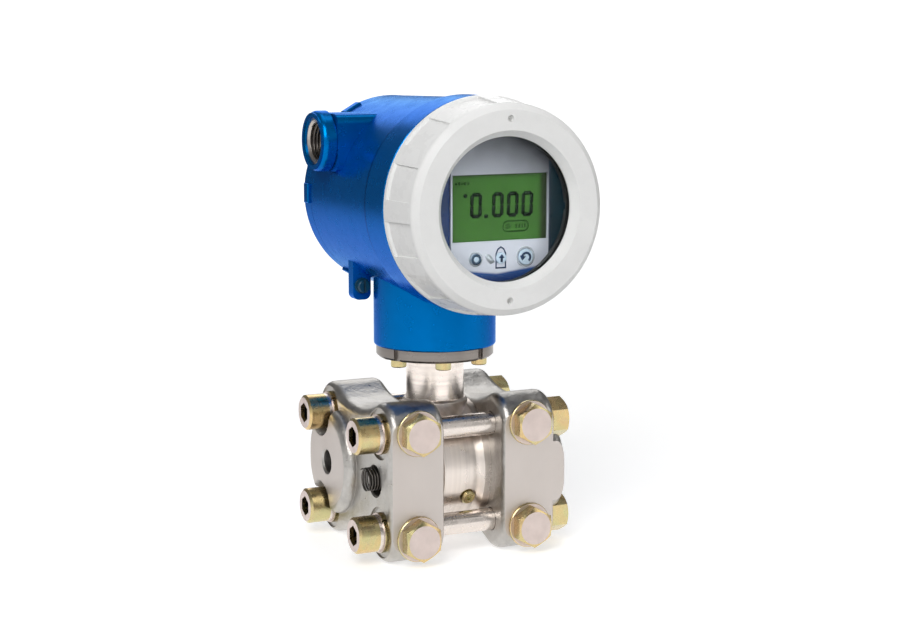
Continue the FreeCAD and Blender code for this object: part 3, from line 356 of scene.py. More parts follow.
def blue_enamel(name, base, roughness):
    """Blue enamel with metal flake: painted shade just behind the groove of the front band, and thread on
    the front neck.
    """
    f = gloss_paint(name, base, roughness)
    # painted shade: the barrel darkened just behind the groove of the front band, where the band's shade
    # falls
    behind = f.math("SUBTRACT", f.y, GROOVE_Y)
    groove = f.math("MULTIPLY", f.ramp(behind, *GROOVE_SHADE_FADE, 1.0, 0.0),
                    f.math("GREATER_THAN", behind, 0.0))
    skin = f.ramp(from_housing_axis(f), *GROOVE_SHADE_SKIN, 1.0, 0.0)
    f.set(Base_Color=f.stain(0.75, f.math("MULTIPLY", groove, skin), f.shade, tone(base, 0.10)))
    f.set(Metallic=0.68, Specular_Tint=ENAMEL_TINT, Specular_IOR_Level=0.2)
    f.bump(*neck_thread(f))
    return f.material


def white_enamel(name, base, roughness):
    """White enamel outside, and painted shade, near black, on the cover's inside behind the lip of the
    window.
    """
    f = gloss_paint(name, base, roughness)
    # painted shade: the cover's inside behind the lip is painted near black, where its shade falls
    painted_shade = f.math("MULTIPLY", f.math("GREATER_THAN", f.y, COVER_LOW.y + COVER_LIP),
                    f.math("LESS_THAN", from_housing_axis(f), COVER_SHADE_RADIUS))
    f.set(Base_Color=f.mix(painted_shade, f.shade, COVER_INSIDE_SHADE), Metallic=0.0, Specular_IOR_Level=0.3)
    return f.material


def neck_thread(f):
    """Fine thread on the front neck, in front of where the cover ends, and nothing elsewhere."""
    turn = f.math("ARCTAN2", f.math("SUBTRACT", f.z, HOUSING_AXIS.z), f.x)
    phase = f.math("ADD", f.math("MULTIPLY", f.y, math.tau / NECK_THREAD_PITCH), turn)
    on_neck = f.math("MULTIPLY", f.math("LESS_THAN", f.y, COVER_HIGH.y),
                     f.math("GREATER_THAN", from_housing_axis(f), NECK_THREAD_ROOT))
    return f.math("MULTIPLY", f.math("SINE", phase), on_neck), 0.0004, 1.0


def milled_faces(f):
    """1 on the flanges' milled front and back edges and on their outer side faces."""
    edge = f.math("MULTIPLY", f.math("GREATER_THAN", f.math("ABSOLUTE", f.ny), FLAT_FACING),
                  f.math("GREATER_THAN", f.math("ABSOLUTE", f.y), EDGE_FACE - FACE_TOLERANCE))
    side = f.math("MULTIPLY", f.math("GREATER_THAN", f.math("ABSOLUTE", f.nx), FLAT_FACING),
                  f.math("GREATER_THAN", f.math("ABSOLUTE", f.x), SIDE_FACE - FACE_TOLERANCE))
    return f.math("MAXIMUM", edge, side)


def cast_steel(name, cast, milled):
    """Investment-cast stainless steel, pitted and stained, with finely milled faces."""
    f = Finish(name)
    machined = milled_faces(f)
    unmilled = f.math("SUBTRACT", 1.0, machined)
    pits = f.noise(210, 5, 0.6)
    rough = f.mix(f.ramp(pits, 0.3, 0.72), tone(cast, 0.82), tone(cast, 1.12))
    rust = (cast[0] * 0.86, cast[1] * 0.82, cast[2] * 0.74)
    rough = f.stain(0.35, f.ramp(f.noise(45, 4, 0.6, 0.4), 0.42, 0.66), rough, rust)
    across = f.stretched(9, 1, 0.35)
    tool = f.noise(60, 3, place=across)
    clean = f.mix(f.spread(tool), tone(milled, 0.97), tone(milled, 1.03))
    clean = f.stain(0.2, f.ramp(f.noise(70, 4), 0.4, 0.7), clean, tone(milled, 0.84))
    # lighter on sharp edges: wear, and a painted highlight
    shade = f.stain(0.4, f.edge(0.0007), f.mix(machined, rough, clean), tone(milled, 1.25))
    f.set(Base_Color=shade, Metallic=1.0)
    f.set(Roughness=f.math("ADD", f.math("MULTIPLY", f.spread(pits, 0.27, 0.40), unmilled),
                           f.math("MULTIPLY", f.spread(tool, 0.44, 0.56), machined)))
    f.soften(0.0006)
    f.bump(f.math("MULTIPLY", f.noise(110, 3, 0.5), unmilled), 0.0012, 0.6)
    f.bump(f.math("MULTIPLY", f.noise(1100, 3), unmilled), 0.00022, 0.7)
    f.bump(f.math("MULTIPLY", f.noise(160, 3, place=across), machined), 0.00005, 0.5)
    return f.material


def turned_steel(name, base, roughness, axis, at=(0, 0, 0)):
    """Lathe-turned stainless steel, with fine rings round one axis."""
    f = Finish(name)
    along, other = {"x": (f.x, (f.y, f.z, at[1], at[2])), "y": (f.y, (f.x, f.z, at[0], at[2])),
                    "z": (f.z, (f.x, f.y, at[0], at[1]))}[axis]
    ring = f.math("ADD", along, f.radius_from(*other))
    fine = f.lines(ring, 5200)
    broad = f.lines(ring, 420)
    shade = f.mix(f.spread(broad), tone(base, 0.90), tone(base, 1.07))
    shade = f.stain(0.3, f.ramp(fine, 0.35, 0.7), shade, tone(base, 0.82))
    tarnish = (base[0] * 0.92, base[1] * 0.85, base[2] * 0.76)
    shade = f.stain(0.22, f.ramp(f.noise(55, 4, 0.6, 0.5), 0.45, 0.7), shade, tarnish)
    # lighter on sharp edges: wear, and a painted highlight
    shade = f.stain(0.4, f.edge(0.0004), shade, tone(base, 1.3))
    f.set(Base_Color=shade, Metallic=1.0)
    f.set(Roughness=f.spread(f.noise(120, 4), roughness * 0.85, roughness * 1.2))
    f.soften(0.0004)
    f.bump(fine, 0.00002, 0.5)
    f.bump(f.noise(90, 2), 0.0003, 0.12)
    return f.material


def yellow_zinc(name, p, axis, head=None):
    """Yellow zinc plate on steel, gold to olive, with a pale end face where the plate is thin.

    A bolt whose heads start at the distance head has a bare shank and painted shade, near black, in its
    socket.
    """
    f = Finish(name)
    turn = {"x": f.nx, "y": f.ny, "z": f.nz}[axis]
    end_face = f.ramp(f.math("ABSOLUTE", turn), 0.93, 0.99)
    shade = f.mix(f.ramp(f.noise(75, 3, 0.6, 0.8), 0.38, 0.62), p.zinc_gold, p.zinc_olive)
    shade = f.stain(0.4, f.ramp(f.noise(190, 3), 0.5, 0.72), shade, ZINC_COPPER)
    thin = f.mix(f.ramp(f.noise(150, 4), 0.35, 0.65), tone(p.zinc_pale, 0.94), tone(p.zinc_pale, 1.05))
    shade = f.mix(end_face, shade, thin)
    if head is None:
        # lighter on sharp edges: wear, and a painted highlight
        shade = f.stain(0.45, f.edge(0.0004), shade, ZINC_EDGE)
        f.soften(0.0004)
    else:
        shade = socket_and_shank(f, p, shade, head)
    f.set(Base_Color=shade, Metallic=1.0)
    rough = f.spread(f.noise(260, 4), 0.20, 0.34)
    f.set(Roughness=f.math("ADD", rough, f.math("MULTIPLY", end_face, 0.16)))
    f.bump(f.noise(300, 2), 0.00004, 0.12)
    return f.material


def socket_and_shank(f, p, shade, head):
    """The plated heads of the clamp bolts, their bare shanks and the painted shade in their sockets."""
    shank = f.math("LESS_THAN", f.math("ABSOLUTE", f.x), head)
    shade = f.mix(shank, shade, tone(p.turned, 0.95))
    above = f.math("ABSOLUTE", f.math("SUBTRACT", f.z, SENSOR_AXIS.z))
    from_bolt = f.radius_from(f.math("ABSOLUTE", f.y), above, CLAMP_Y, CLAMP_Z)
    depth = f.math("LESS_THAN", f.math("ABSOLUTE", f.x), CLAMP_END - CLAMP_SOCKET_START)
    # painted shade: each socket's inside painted near black
    painted_shade = f.math("MULTIPLY", f.math("LESS_THAN", from_bolt, CLAMP_SOCKET_RADIUS), depth)
    painted_shade = f.math("MULTIPLY", painted_shade, f.math("SUBTRACT", 1.0, shank))
    return f.mix(painted_shade, shade, SOCKET_SHADE)


def clear_glass():
    """Toughened window glass with an anti-reflection coat, which lets the lamps through."""
    f = Finish("window_glass")
    dust = f.ramp(f.noise(900, 3), 0.66, 0.8, 0.015, 0.06)
    f.set(Base_Color=GLASS_TINT, Transmission_Weight=1.0, IOR=1.16, Roughness=dust)
    f.bump(f.noise(14, 2), 0.0004, 0.05)
    path = node(f.tree, "LightPath")
    through = node(f.tree, "BsdfTransparent", {"Color": SHADOW_TINT})
    mixed = node(f.tree, "MixShader", {0: path.outputs["Is Shadow Ray"], 1: f.shader.outputs[0],
                                       2: through.outputs[0]})
    f.tree.links.new(mixed.outputs[0], f.out.inputs["Surface"])
    return f.material


def moulded(name, base, roughness, grain=900, depth=0.00006, sheen=0.0, gloss=0.4):
    """Moulded plastic or rubber with a fine grain."""
    f = Finish(name)
    cloud = f.noise(60, 3)
    shade = f.mix(f.spread(cloud), tone(base, 0.86), tone(base, 1.14))
    shade = f.stain(0.3, f.edge(0.0003), shade, tuple(c * 0.8 + 0.06 for c in base))
    f.set(Base_Color=shade, IOR=1.48, Sheen_Weight=sheen, Specular_IOR_Level=gloss)
    f.set(Roughness=f.spread(f.noise(220, 3), roughness * 0.88, min(1, roughness * 1.12)))
    f.soften(0.0003)
    f.bump(f.noise(grain, 3), depth, 0.5)
    return f.material


def carrier_moulding(name, base):
    """The carrier's plastic: navy on the left and below, with painted shade, dark teal, towards its upper
    right.
    """
    f = Finish(name)
    rise = f.math("MULTIPLY", f.math("SUBTRACT", f.z, HOUSING_AXIS.z), 0.35)
    # painted shade: darker and tealer towards the upper right, where the cover's shade falls
    shade = f.mix(f.ramp(f.math("ADD", f.x, rise), -12 * MM, 22 * MM), base, CARRIER_SHADE_TEAL)
    shade = f.stain(0.35, f.ramp(f.noise(150, 4), 0.4, 0.7), shade, CARRIER_CLOUD)
    f.set(Base_Color=shade, IOR=1.5)
    f.set(Roughness=f.spread(f.noise(220, 3), 0.26, 0.38))
    f.bump(f.noise(700, 3), 0.00006, 0.4)
    return f.material


def printed_plate(name, base):
    """Printed polyester over a plate: satin lilac grey, with painted light towards its lower left and
    painted shade of the cover towards its upper right, blue at its foot.
    """
    f = Finish(name)
    # painted light and shade: lighter towards the lower left, darker towards the upper right where the
    # cover's shade falls
    painted_light_and_shade = f.math("ADD", f.math("MULTIPLY", f.x, 0.55), f.math("SUBTRACT", f.z, HOUSING_AXIS.z))
    shade = f.mix(f.ramp(painted_light_and_shade, -6 * MM, 34 * MM), tone(base, 1.70), tone(base, 0.06))
    shade = f.stain(0.25, f.ramp(f.noise(40, 3), 0.35, 0.65), shade, tone(base, 1.25))
    rim = f.ramp(f.x, PLATE_HIGH.x - 1.2 * MM, PLATE_HIGH.x - 0.8 * MM)
    shade = f.mix(rim, shade, PLATE_RIM)
    bowed = f.math("SUBTRACT", f.z, f.math("MULTIPLY", f.math("ABSOLUTE", f.x), 0.12))
    foot = f.ramp(bowed, KEY_ROW - 7 * MM, KEY_ROW - 6 * MM, 1.0, 0.0)
    upper = f.ramp(f.z, KEY_ROW - 10 * MM, KEY_ROW - 6 * MM)
    shade = f.mix(foot, shade, f.mix(upper, PLATE_FOOT_DEEP, PLATE_FOOT))
    f.set(Base_Color=shade, IOR=1.5, Metallic=0.25)
    f.set(Roughness=f.spread(f.noise(400, 3), 0.34, 0.46))
    f.bump(f.noise(2400, 2), 0.00002, 0.4)
    return f.material


def glowing_display(name, base):
    """A panel with a faint painted glow: even green, darker towards its top, with a painted shadow of its
    frame along the right, top and left, and a faint dot grid.
    """
    f = Finish(name)
    centre = (LCD_LOW + LCD_HIGH) / 2
    half = (LCD_HIGH - LCD_LOW) / 2
    # painted shadow of the frame: darker along the right edge, less along the top and least along the left
    right = f.ramp(f.math("SUBTRACT", f.x, centre.x), half.x - 5.0 * MM, half.x - 2.4 * MM)
    top = f.ramp(f.math("SUBTRACT", f.z, centre.z), half.z - 2.6 * MM, half.z - 1.0 * MM)
    left = f.ramp(f.math("SUBTRACT", centre.x, f.x), half.x - 2.2 * MM, half.x - 0.8 * MM)
    dark = f.math("MAXIMUM", f.math("MAXIMUM", right, f.math("MULTIPLY", top, 0.75)),
                  f.math("MULTIPLY", left, 0.35))
    shade = f.mix(f.ramp(f.noise(50, 3), 0.35, 0.65), tone(base, 0.92), tone(base, 1.10))
    # painted shade: darker towards the top
    shade = f.mix(f.ramp(f.z, LCD_LOW.z, LCD_HIGH.z, 0.0, 0.25), shade, tone(base, 0.7))
    shade = f.stain(0.9, dark, shade, FRAME_SHADOW)
    f.set(Base_Color=shade, IOR=1.5, Specular_IOR_Level=0.25)
    # painted light: the panel glows faintly in its own colour
    f.set(Emission_Color=shade, Emission_Strength=0.25)
    f.set(Roughness=f.spread(f.noise(300, 3), 0.30, 0.42))
    columns = f.math("SINE", f.math("MULTIPLY", f.x, math.tau / DOT_PITCH))
    rows = f.math("SINE", f.math("MULTIPLY", f.z, math.tau / DOT_PITCH))
    f.bump(f.math("MULTIPLY", columns, rows), 0.00001, 0.3)
    return f.material


def make_finishes(p):
    """Every material by name."""
    return {
        "blue": blue_enamel("blue_enamel", p.blue, p.paint_roughness),
        "white": white_enamel("white_enamel", p.white, p.paint_roughness * 1.15),
        "cast": cast_steel("cast_steel", p.cast, p.milled),
        "body": turned_steel("turned_body", p.turned, p.steel_roughness, "x", SENSOR_AXIS),
        # lit and shaded copies of the turned steel: the neck painted lighter as painted light; the ring, the
        # cut threads and the bushes painted darker as painted shade
        "neck": turned_steel("lit_turned_neck", tone(p.turned, 1.2), p.steel_roughness * 0.85, "z"),
        "ring": turned_steel("shaded_turned_ring", tone(p.turned, 0.33), p.steel_roughness, "z"),
        "thread": turned_steel("shaded_cut_thread", tone(p.turned, 0.15), 0.34, "x",
                               BUSH_AXIS),
        "bush": turned_steel("shaded_turned_bush", tone(p.turned, 0.6), p.steel_roughness, "x", BUSH_AXIS),
        "diaphragm": turned_steel("rolled_foil", tone(p.turned, 1.1), 0.2, "x", SENSOR_AXIS),
        "clamp": yellow_zinc("zinc_clamp_bolts", p, "x", SIDE_FACE - CLAMP_HEAD_SEAT),
        "zinc_x": yellow_zinc("zinc_side", p, "x"),
        "zinc_y": yellow_zinc("zinc_front", p, "y"),
        "zinc_z": yellow_zinc("zinc_upright", p, "z"),
        "glass": clear_glass(),
        "plate": printed_plate("printed_plate", p.plate),
        "display": glowing_display("glowing_display", p.display),
        "digit": moulded("display_segments", p.digit, 0.4, 1500, 0.00001, gloss=0.1),
        "faint": moulded("faint_segments", (0.012, 0.055, 0.006), 0.4, 1500, 0.00001, gloss=0.1),
        "carrier": carrier_moulding("moulded_carrier", p.carrier),
        "rubber": moulded("seal_rubber", (0.022, 0.022, 0.024), 0.55, 600, 0.00008, 0.2),
        "gasket": moulded("filled_gasket", (0.74, 0.73, 0.70), 0.5, 500, 0.00006),
        "potting": moulded("potting_resin", (0.035, 0.036, 0.042), 0.35, 300, 0.00015),
        "terminal": moulded("terminal_moulding", (0.022, 0.022, 0.022), 0.45, 1000),
        "key": moulded("key_cap", (0.40, 0.47, 0.58), 0.28, 900, 0.00002),
        "key_ring": moulded("key_ring_ink", (0.035, 0.075, 0.14), 0.35, 900, 0.00002),
        "key_mark": moulded("key_mark_ink", (0.010, 0.035, 0.11), 0.35, 900, 0.00002),
        "key_pale": moulded("key_pale_ink", (0.62, 0.64, 0.70), 0.30, 900, 0.00002),
        "ground": moulded("painted_screw", (0.006, 0.05, 0.09), 0.25, 500, 0.00006),
    }


def finish_of(name):
    """A material made by the finishes operator."""
    found = {"thread": "shaded_cut_thread", "digit": "display_segments", "faint": "faint_segments",
             "key_ring": "key_ring_ink", "key_mark": "key_mark_ink", "key_pale": "key_pale_ink"}[name]
    if found not in bpy.data.materials:
        raise RuntimeError(f"the finish {found} isn't made yet; run the finishes operator first")
    return bpy.data.materials[found]


NODE_FINISH = {
    "blue": ("housing", "rear_cover"),
    "white": ("front_cover",),
    "cast": ("flange_low", "flange_high"),
    "body": ("sensor_body",),
    "neck": ("neck_tube",),
    "ring": ("neck_ring",),
    "bush": ("conduit_bushes", "conduit_plug"),
    "diaphragm": ("isolating_diaphragms",),
    "clamp": ("clamp_bolts",),
    "zinc_x": ("spring_washers", "nut_washers", "clamp_nuts"),
    "zinc_y": ("edge_bolts", "edge_washers", "fill_plug", "terminal_screws"),
    "zinc_z": ("neck_ring_screws",),
    "glass": ("window_glass",),
    "plate": ("display_plate",),
    "display": ("lcd_panel",),
    "carrier": ("display_shell",),
    "rubber": ("front_cover_seal", "rear_cover_seal"),
    "gasket": ("flange_gaskets",),
    "potting": ("electronics_module",),
    # the glass retainer takes the near-black moulding as painted shade behind the window
    "terminal": ("terminal_block", "glass_retainer"),
    "key": ("button_left", "button_middle", "button_right"),
    "ground": ("ground_screw", "ground_washer"),
}


# ---------------------------------------------------------------- mesh helpers
THREAD_STEPS = 48                   # in a turn
THREAD_ROOT = 0.46                  # half width of a ridge at its foot, as a share of the pitch
THREAD_CREST = 0.08
THREAD_SUNK = 0.04 * MM             # how far a ridge's foot sits in the wall
CORNER_STEPS = 6


def piece(name, mesh, body, finish):
    """A new object that rides on a body and takes its finish from a slot."""
    mesh.name = name
    made = bpy.data.objects.new(name, mesh)
    bpy.context.scene.collection.objects.link(made)
    mesh.materials.append(finish_of(finish))
    for polygon in mesh.polygons:
        polygon.use_smooth = True
    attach(made, body)
    return made


def mesh_from(faces_of):
    """A mesh from a function that fills a bmesh."""
    work = bmesh.new()
    faces_of(work)
    bmesh.ops.recalc_face_normals(work, faces=work.faces)
    mesh = bpy.data.meshes.new("work")
    work.to_mesh(mesh)
    work.free()
    return mesh


def thread_ridge(work, start, axis, radius, run, pitch, depth):
    """A helical ridge that stands inward from a bore, tapered to nothing at both ends."""
    axis = Vector(axis)
    side = axis.orthogonal().normalized()
    across = axis.cross(side)
    root, crest = pitch * THREAD_ROOT, pitch * THREAD_CREST
    count = int(run / pitch * THREAD_STEPS)
    rows = []
    for step in range(count + 1):
        angle = math.tau * step / THREAD_STEPS
        fade = min(1.0, step / THREAD_STEPS, (count - step) / THREAD_STEPS)
        out = side * math.cos(angle) + across * math.sin(angle)
        centre = start + axis * (pitch * step / THREAD_STEPS)
        low, high = out * (radius + THREAD_SUNK), out * (radius - depth * fade)
        points = [centre + low - axis * root, centre + high - axis * crest,
                  centre + high + axis * crest, centre + low + axis * root]
        rows.append([work.verts.new(p) for p in points])
    for one, two in zip(rows, rows[1:]):
        for a in range(4):
            b = (a + 1) % 4
            work.faces.new((one[a], one[b], two[b], two[a]))
    work.faces.new(rows[0])
    work.faces.new(list(reversed(rows[-1])))


def flat_shape(work, outline, y, thickness, holes=()):
    """A thin printed shape in the XZ plane, raised towards the front, with optional holes."""
    loops = [outline, *holes]
    edges = []
    for loop in loops:
        corners = [work.verts.new((x, y, z)) for x, z in loop]
        edges += [work.edges.new((a, b)) for a, b in zip(corners, corners[1:] + corners[:1])]
    filled = bmesh.ops.triangle_fill(work, edges=edges, use_beauty=True, use_dissolve=False)
    faces = [g for g in filled["geom"] if isinstance(g, bmesh.types.BMFace)]
    if not faces:
        raise RuntimeError("an outline could not be filled")
    grown = bmesh.ops.extrude_face_region(work, geom=faces)
    front = [g for g in grown["geom"] if isinstance(g, bmesh.types.BMVert)]
    bmesh.ops.translate(work, vec=(0, -thickness, 0), verts=front)


def rounded_box(x, z, wide, tall, radius):
    """An outline of a box with round corners."""
    points = []
    for turn, (sx, sz) in enumerate(((1, 1), (-1, 1), (-1, -1), (1, -1))):
        for step in range(CORNER_STEPS + 1):
            angle = math.pi / 2 * (turn + step / CORNER_STEPS)
            points.append((x + sx * (wide / 2 - radius) + radius * math.cos(angle),
                           z + sz * (tall / 2 - radius) + radius * math.sin(angle)))
    return points


def outline_at(x, z, corners):
    """An outline round a middle, from corners in millimetres."""
    return [(x + a * MM, z + b * MM) for a, b in corners]


def circle(x, z, radius, steps=32):
    """An outline of a circle."""
    return [(x + radius * math.cos(math.tau * i / steps), z + radius * math.sin(math.tau * i / steps))
            for i in range(steps)]


# ---------------------------------------------------------------- pieces
VISIBLE_INSET = 0.7 * MM            # of the display's visible part from the panel's edges
VISIBLE_LEFT = LCD_LOW.x + VISIBLE_INSET
VISIBLE_TOP = LCD_HIGH.z - VISIBLE_INSET
DIGIT_PLACES = (11.3 * MM, 21.4 * MM, 28.4 * MM, 35.3 * MM)
DIGIT_DROP = 12.85 * MM
DIGIT_LEAN = 0.03
SEGMENT_GAP = 0.05                  # as a share of the segment's width
SEGMENT_BEVEL = 0.55                # as a share of half the segment's width

ARROW_OUTLINE = ((-2.5, -4.4), (2.5, -4.4), (2.5, 2.0), (1.6, 4.0), (0, 5.0), (-1.6, 4.0), (-2.5, 2.0))
UP_MARK = ((-1.4, 0.1), (0, 1.7), (1.4, 0.1), (0.5, 0.1), (0.5, -1.6), (-0.5, -1.6), (-0.5, 0.1))
TURN_TIP = ((-3.0, 0.8), (-1.9, -1.3), (-0.1, 0.4))
LEAF_STEPS = 12
ARC_STEPS = 20

ENTRY_BORE = 8.2 * MM
ENTRY_THREAD_START = 1.4 * MM
ENTRY_THREAD_RUN = 10.0 * MM
# each port: its side of the middle, distance from it, start below the boss, bore radius, run, thread height
PORTS = ((1, 20.5 * MM, 1.4 * MM, 5.15 * MM, 12.5 * MM, 0.8),
         (-1, 23.5 * MM, 6.2 * MM, 6.45 * MM, 10.5 * MM, 1.0))


def bar(x, z, along_x, length_of, width, axis_z):
    """One segment of a digit, with pointed ends."""
    half, thick = length_of / 2, width / 2
    bevel = thick * SEGMENT_BEVEL
    shape = [(-half, bevel - thick), (-half, thick - bevel), (-half + bevel, thick),
             (half - bevel, thick), (half, thick - bevel), (half, bevel - thick),
             (half - bevel, -thick), (-half + bevel, -thick)]
    points = [(x + a, z + b) if along_x else (x + b, z + a) for a, b in shape]
    return [(px + (pz - axis_z) * DIGIT_LEAN, pz) for px, pz in points]


def zero_digit(work, x, z, p):
    """A nought of six segments that nearly touch."""
    gap = p.stroke * SEGMENT_GAP
    half_w, half_h = (p.digit_width - p.stroke) / 2, (p.digit_height - p.stroke) / 2
    for sx in (-1, 1):
        for sz in (-1, 1):
            upright = bar(x + sx * half_w, z + sz * half_h / 2, False, half_h - gap, p.stroke, z)
            flat_shape(work, upright, LCD_LOW.y, p.raise_by)
    for sz in (-1, 1):
        level = bar(x, z + sz * half_h, True, p.digit_width - p.stroke - gap, p.stroke, z)
        flat_shape(work, level, LCD_LOW.y, p.raise_by)


def make_digits(p):
    """The reading 0.000, its point and the small dot before it."""
    def build(work):
        for x in DIGIT_PLACES:
            zero_digit(work, VISIBLE_LEFT + x, VISIBLE_TOP - DIGIT_DROP, p)
        point = rounded_box(VISIBLE_LEFT + 16.0 * MM, VISIBLE_TOP - 17.4 * MM, 1.8 * MM, 1.6 * MM, 0.4 * MM)
        flat_shape(work, point, LCD_LOW.y, p.raise_by)
        dot = circle(VISIBLE_LEFT + 6.4 * MM, VISIBLE_TOP - 8.7 * MM, 0.9 * MM)
        flat_shape(work, dot, LCD_LOW.y, p.raise_by)
    return piece("display_digits", mesh_from(build), "housing", "digit")


def make_small_marks(p):
    """A rounded unit box with a ring and bars in it, and a short row of level marks, all faint."""
    y = LCD_LOW.y

    def build(work):
        x, z = VISIBLE_LEFT + 29.85 * MM, VISIBLE_TOP - 22.05 * MM
        flat_shape(work, rounded_box(x, z, 12.3 * MM, 4.9 * MM, 2.2 * MM), y, p.raise_by,
                   [rounded_box(x, z, 11.2 * MM, 3.8 * MM, 1.7 * MM)])
        ring_of(work, x - 3.6 * MM, z, 1.1 * MM, 0.65 * MM, y, p.raise_by, 32)
        for step in range(4):
            flat_shape(work, rounded_box(x + (0.2 + step * 1.4) * MM, z, 0.6 * MM, 1.8 * MM, 0.2 * MM),
                       y, p.raise_by)
        for step in range(5):
            level = rounded_box(VISIBLE_LEFT + (2.2 + step * 1.4) * MM, VISIBLE_TOP - 3.6 * MM,
                                0.8 * MM, (1.0 + 0.3 * (step % 2)) * MM, 0.2 * MM)
            flat_shape(work, level, y, p.raise_by)
    return piece("display_small_marks", mesh_from(build), "housing", "faint")


def ring_of(work, x, z, outer, inner, y, thickness, steps=48):
    """A flat ring."""
    flat_shape(work, circle(x, z, outer, steps), y, thickness, [circle(x, z, inner, steps)])


def make_key_marks(p):
    """Printed rings round the keys and a generic mark on each: a ring, an upward arrow, a turning arrow."""
    y = PLATE_LOW.y
    thick = p.raise_by
    left, mid, right = (middle(f"button_{side}") for side in ("left", "middle", "right"))
    cap = {side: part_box(f"button_{side}")[0].y for side in ("left", "middle", "right")}

    def rings(work):
        ring_of(work, left.x, left.z, 3.2 * MM, 2.7 * MM, y, thick)
        ring_of(work, right.x, right.z, 4.4 * MM, 3.8 * MM, y, thick)
    piece("key_rings", mesh_from(rings), "housing", "key_pale")

    def arrow(work):
        outer = outline_at(mid.x, mid.z, ARROW_OUTLINE)
        inner = outline_at(mid.x, mid.z, [(a * 0.78, b * 0.86) for a, b in ARROW_OUTLINE])
        flat_shape(work, outer, y, thick, [inner])
    piece("key_arrow_outline", mesh_from(arrow), "housing", "key_mark")

    def leaf(work):
        def side(t, bulge):
            return (-2.4 + 4.8 * t, bulge * math.sin(math.pi * t) + 1.4 * (1 - 2 * t))
        upper = [side(i / LEAF_STEPS, 1.6) for i in range(LEAF_STEPS + 1)]
        lower = [side(i / LEAF_STEPS, -2.0) for i in range(LEAF_STEPS - 1, 0, -1)]
        flat_shape(work, outline_at(mid.x - 5.2 * MM, mid.z, upper + lower), y, thick)
    piece("key_pale_leaf", mesh_from(leaf), "housing", "key_pale")

    def up_mark(work):
        flat_shape(work, outline_at(mid.x, mid.z, UP_MARK), cap["middle"], thick)
    piece("key_up_mark", mesh_from(up_mark), "button_middle", "key_mark")

    def turn_mark(work):
        angles = [math.radians(-50 + 205 * i / ARC_STEPS) for i in range(ARC_STEPS + 1)]
        arc = [(2.4 * math.cos(a), 2.4 * math.sin(a)) for a in angles]
        back = [(1.4 * math.cos(a), 1.4 * math.sin(a)) for a in reversed(angles)]
        outline = outline_at(right.x, right.z - 0.2 * MM, [*arc, *TURN_TIP, *back])
        flat_shape(work, outline, cap["right"], thick)
    piece("key_turn_mark", mesh_from(turn_mark), "button_right", "key_mark")

    def ring_mark(work):
        ring_of(work, left.x, left.z, 2.3 * MM, 1.2 * MM, cap["left"], thick)
    piece("key_dot_mark", mesh_from(ring_mark), "button_left", "key_ring")


def make_entry_thread(p):
    """The female thread of the open cable entry."""
    start = Vector((BUSH_LOW.x + ENTRY_THREAD_START, BUSH_AXIS.y, BUSH_AXIS.z))

    def build(work):
        thread_ridge(work, start, (1, 0, 0), ENTRY_BORE, ENTRY_THREAD_RUN, p.entry_pitch, p.depth * 1.3)
    return piece("entry_thread", mesh_from(build), "housing", "thread")


def make_port_threads(p):
    """Female threads in the four pressure ports of the two flanges."""
    def build(work):
        for side in (-1, 1):
            for way, y, below, bore, run, height in PORTS:
                start = Vector((side * (FLANGE_HIGH.x - below), side * way * y, SENSOR_AXIS.z))
                thread_ridge(work, start, (-side, 0, 0), bore, run, p.port_pitch, p.depth * height)
    return piece("port_threads", mesh_from(build), "sensor", "thread")


# ---------------------------------------------------------------- stage
FLOOR_RADIUS = 1.6
BEND_RADIUS = 0.8
BEND_STEPS = 12
WALL_TOP = 3.4
SECTORS = 72
FLOOR_DROP = 0.1 * MM               # of the floor below the object's foot
FLOOR_GLOW = 0.52                   # what the camera sees of the floor's own light near the object
MIRRORED_GLOW = FLOOR_GLOW + 0.25   # what gloss and glass see of it
ROOM_GREY = (0.34, 0.34, 0.35)
ROOM_ABOVE = (0.10, 0.10, 0.105)
AIM = Vector((0, 0, 0.11))
# each lamp: place, width and height
LAMPS = {"key_lamp": ((-0.75, -0.85, 0.95), 0.75, 0.9), "fill_lamp": ((1.0, -0.75, 0.45), 0.9, 1.1),
         "top_lamp": ((0.1, 0.15, 1.25), 0.7, 0.7), "back_lamp": ((0.35, 1.1, 0.8), 0.8, 0.8)}
TOP_SHARE = 0.20                    # of the key lamp's power
BACK_SHARE = 0.8                    # of the fill lamp's power
CAMERA_PLACE = Vector((-346.17, -732.25, 225.14)) * MM
CAMERA_TURN = (math.radians(81.53), 0, math.radians(-25.79))


def studio_paper(name, base):
    """Paper that keeps the object's shadow.

    Its own light shows white far out to the camera; gloss and glass see it pale in front of the object and
    greyer behind it, on its right and above.
    """
    f = Finish(name)
    radius = f.radius_from(f.x, f.y)
    sheet = f.mix(f.spread(f.noise(3, 2)), base, tone(base, 0.985))
    f.set(Base_Color=f.mix(f.ramp(radius, 0.6, 1.5), sheet, tone(base, 0.30)), Roughness=0.9)
    path = node(f.tree, "LightPath")
    bounced = f.math("MAXIMUM", path.outputs["Is Glossy Ray"], path.outputs["Is Transmission Ray"])
    glow = f.ramp(radius, 0.5, 1.6, FLOOR_GLOW, FLOOR_GLOW + 0.6)
    dark_side = f.math("MAXIMUM", f.math("MAXIMUM", f.ramp(f.x, 0.3, 1.7), f.ramp(f.y, 0.3, 1.5)),
                       f.ramp(f.z, 0.5, 1.3))
    mirrored = f.math("MULTIPLY", f.math("SUBTRACT", 1.0, f.math("MULTIPLY", dark_side, 0.8)),
                      MIRRORED_GLOW)
    direct = f.math("MULTIPLY", path.outputs["Is Camera Ray"], glow)
    f.set(Emission_Color=(1, 1, 1),
          Emission_Strength=f.math("MAXIMUM", direct, f.math("MULTIPLY", bounced, mirrored)))
    return f.material


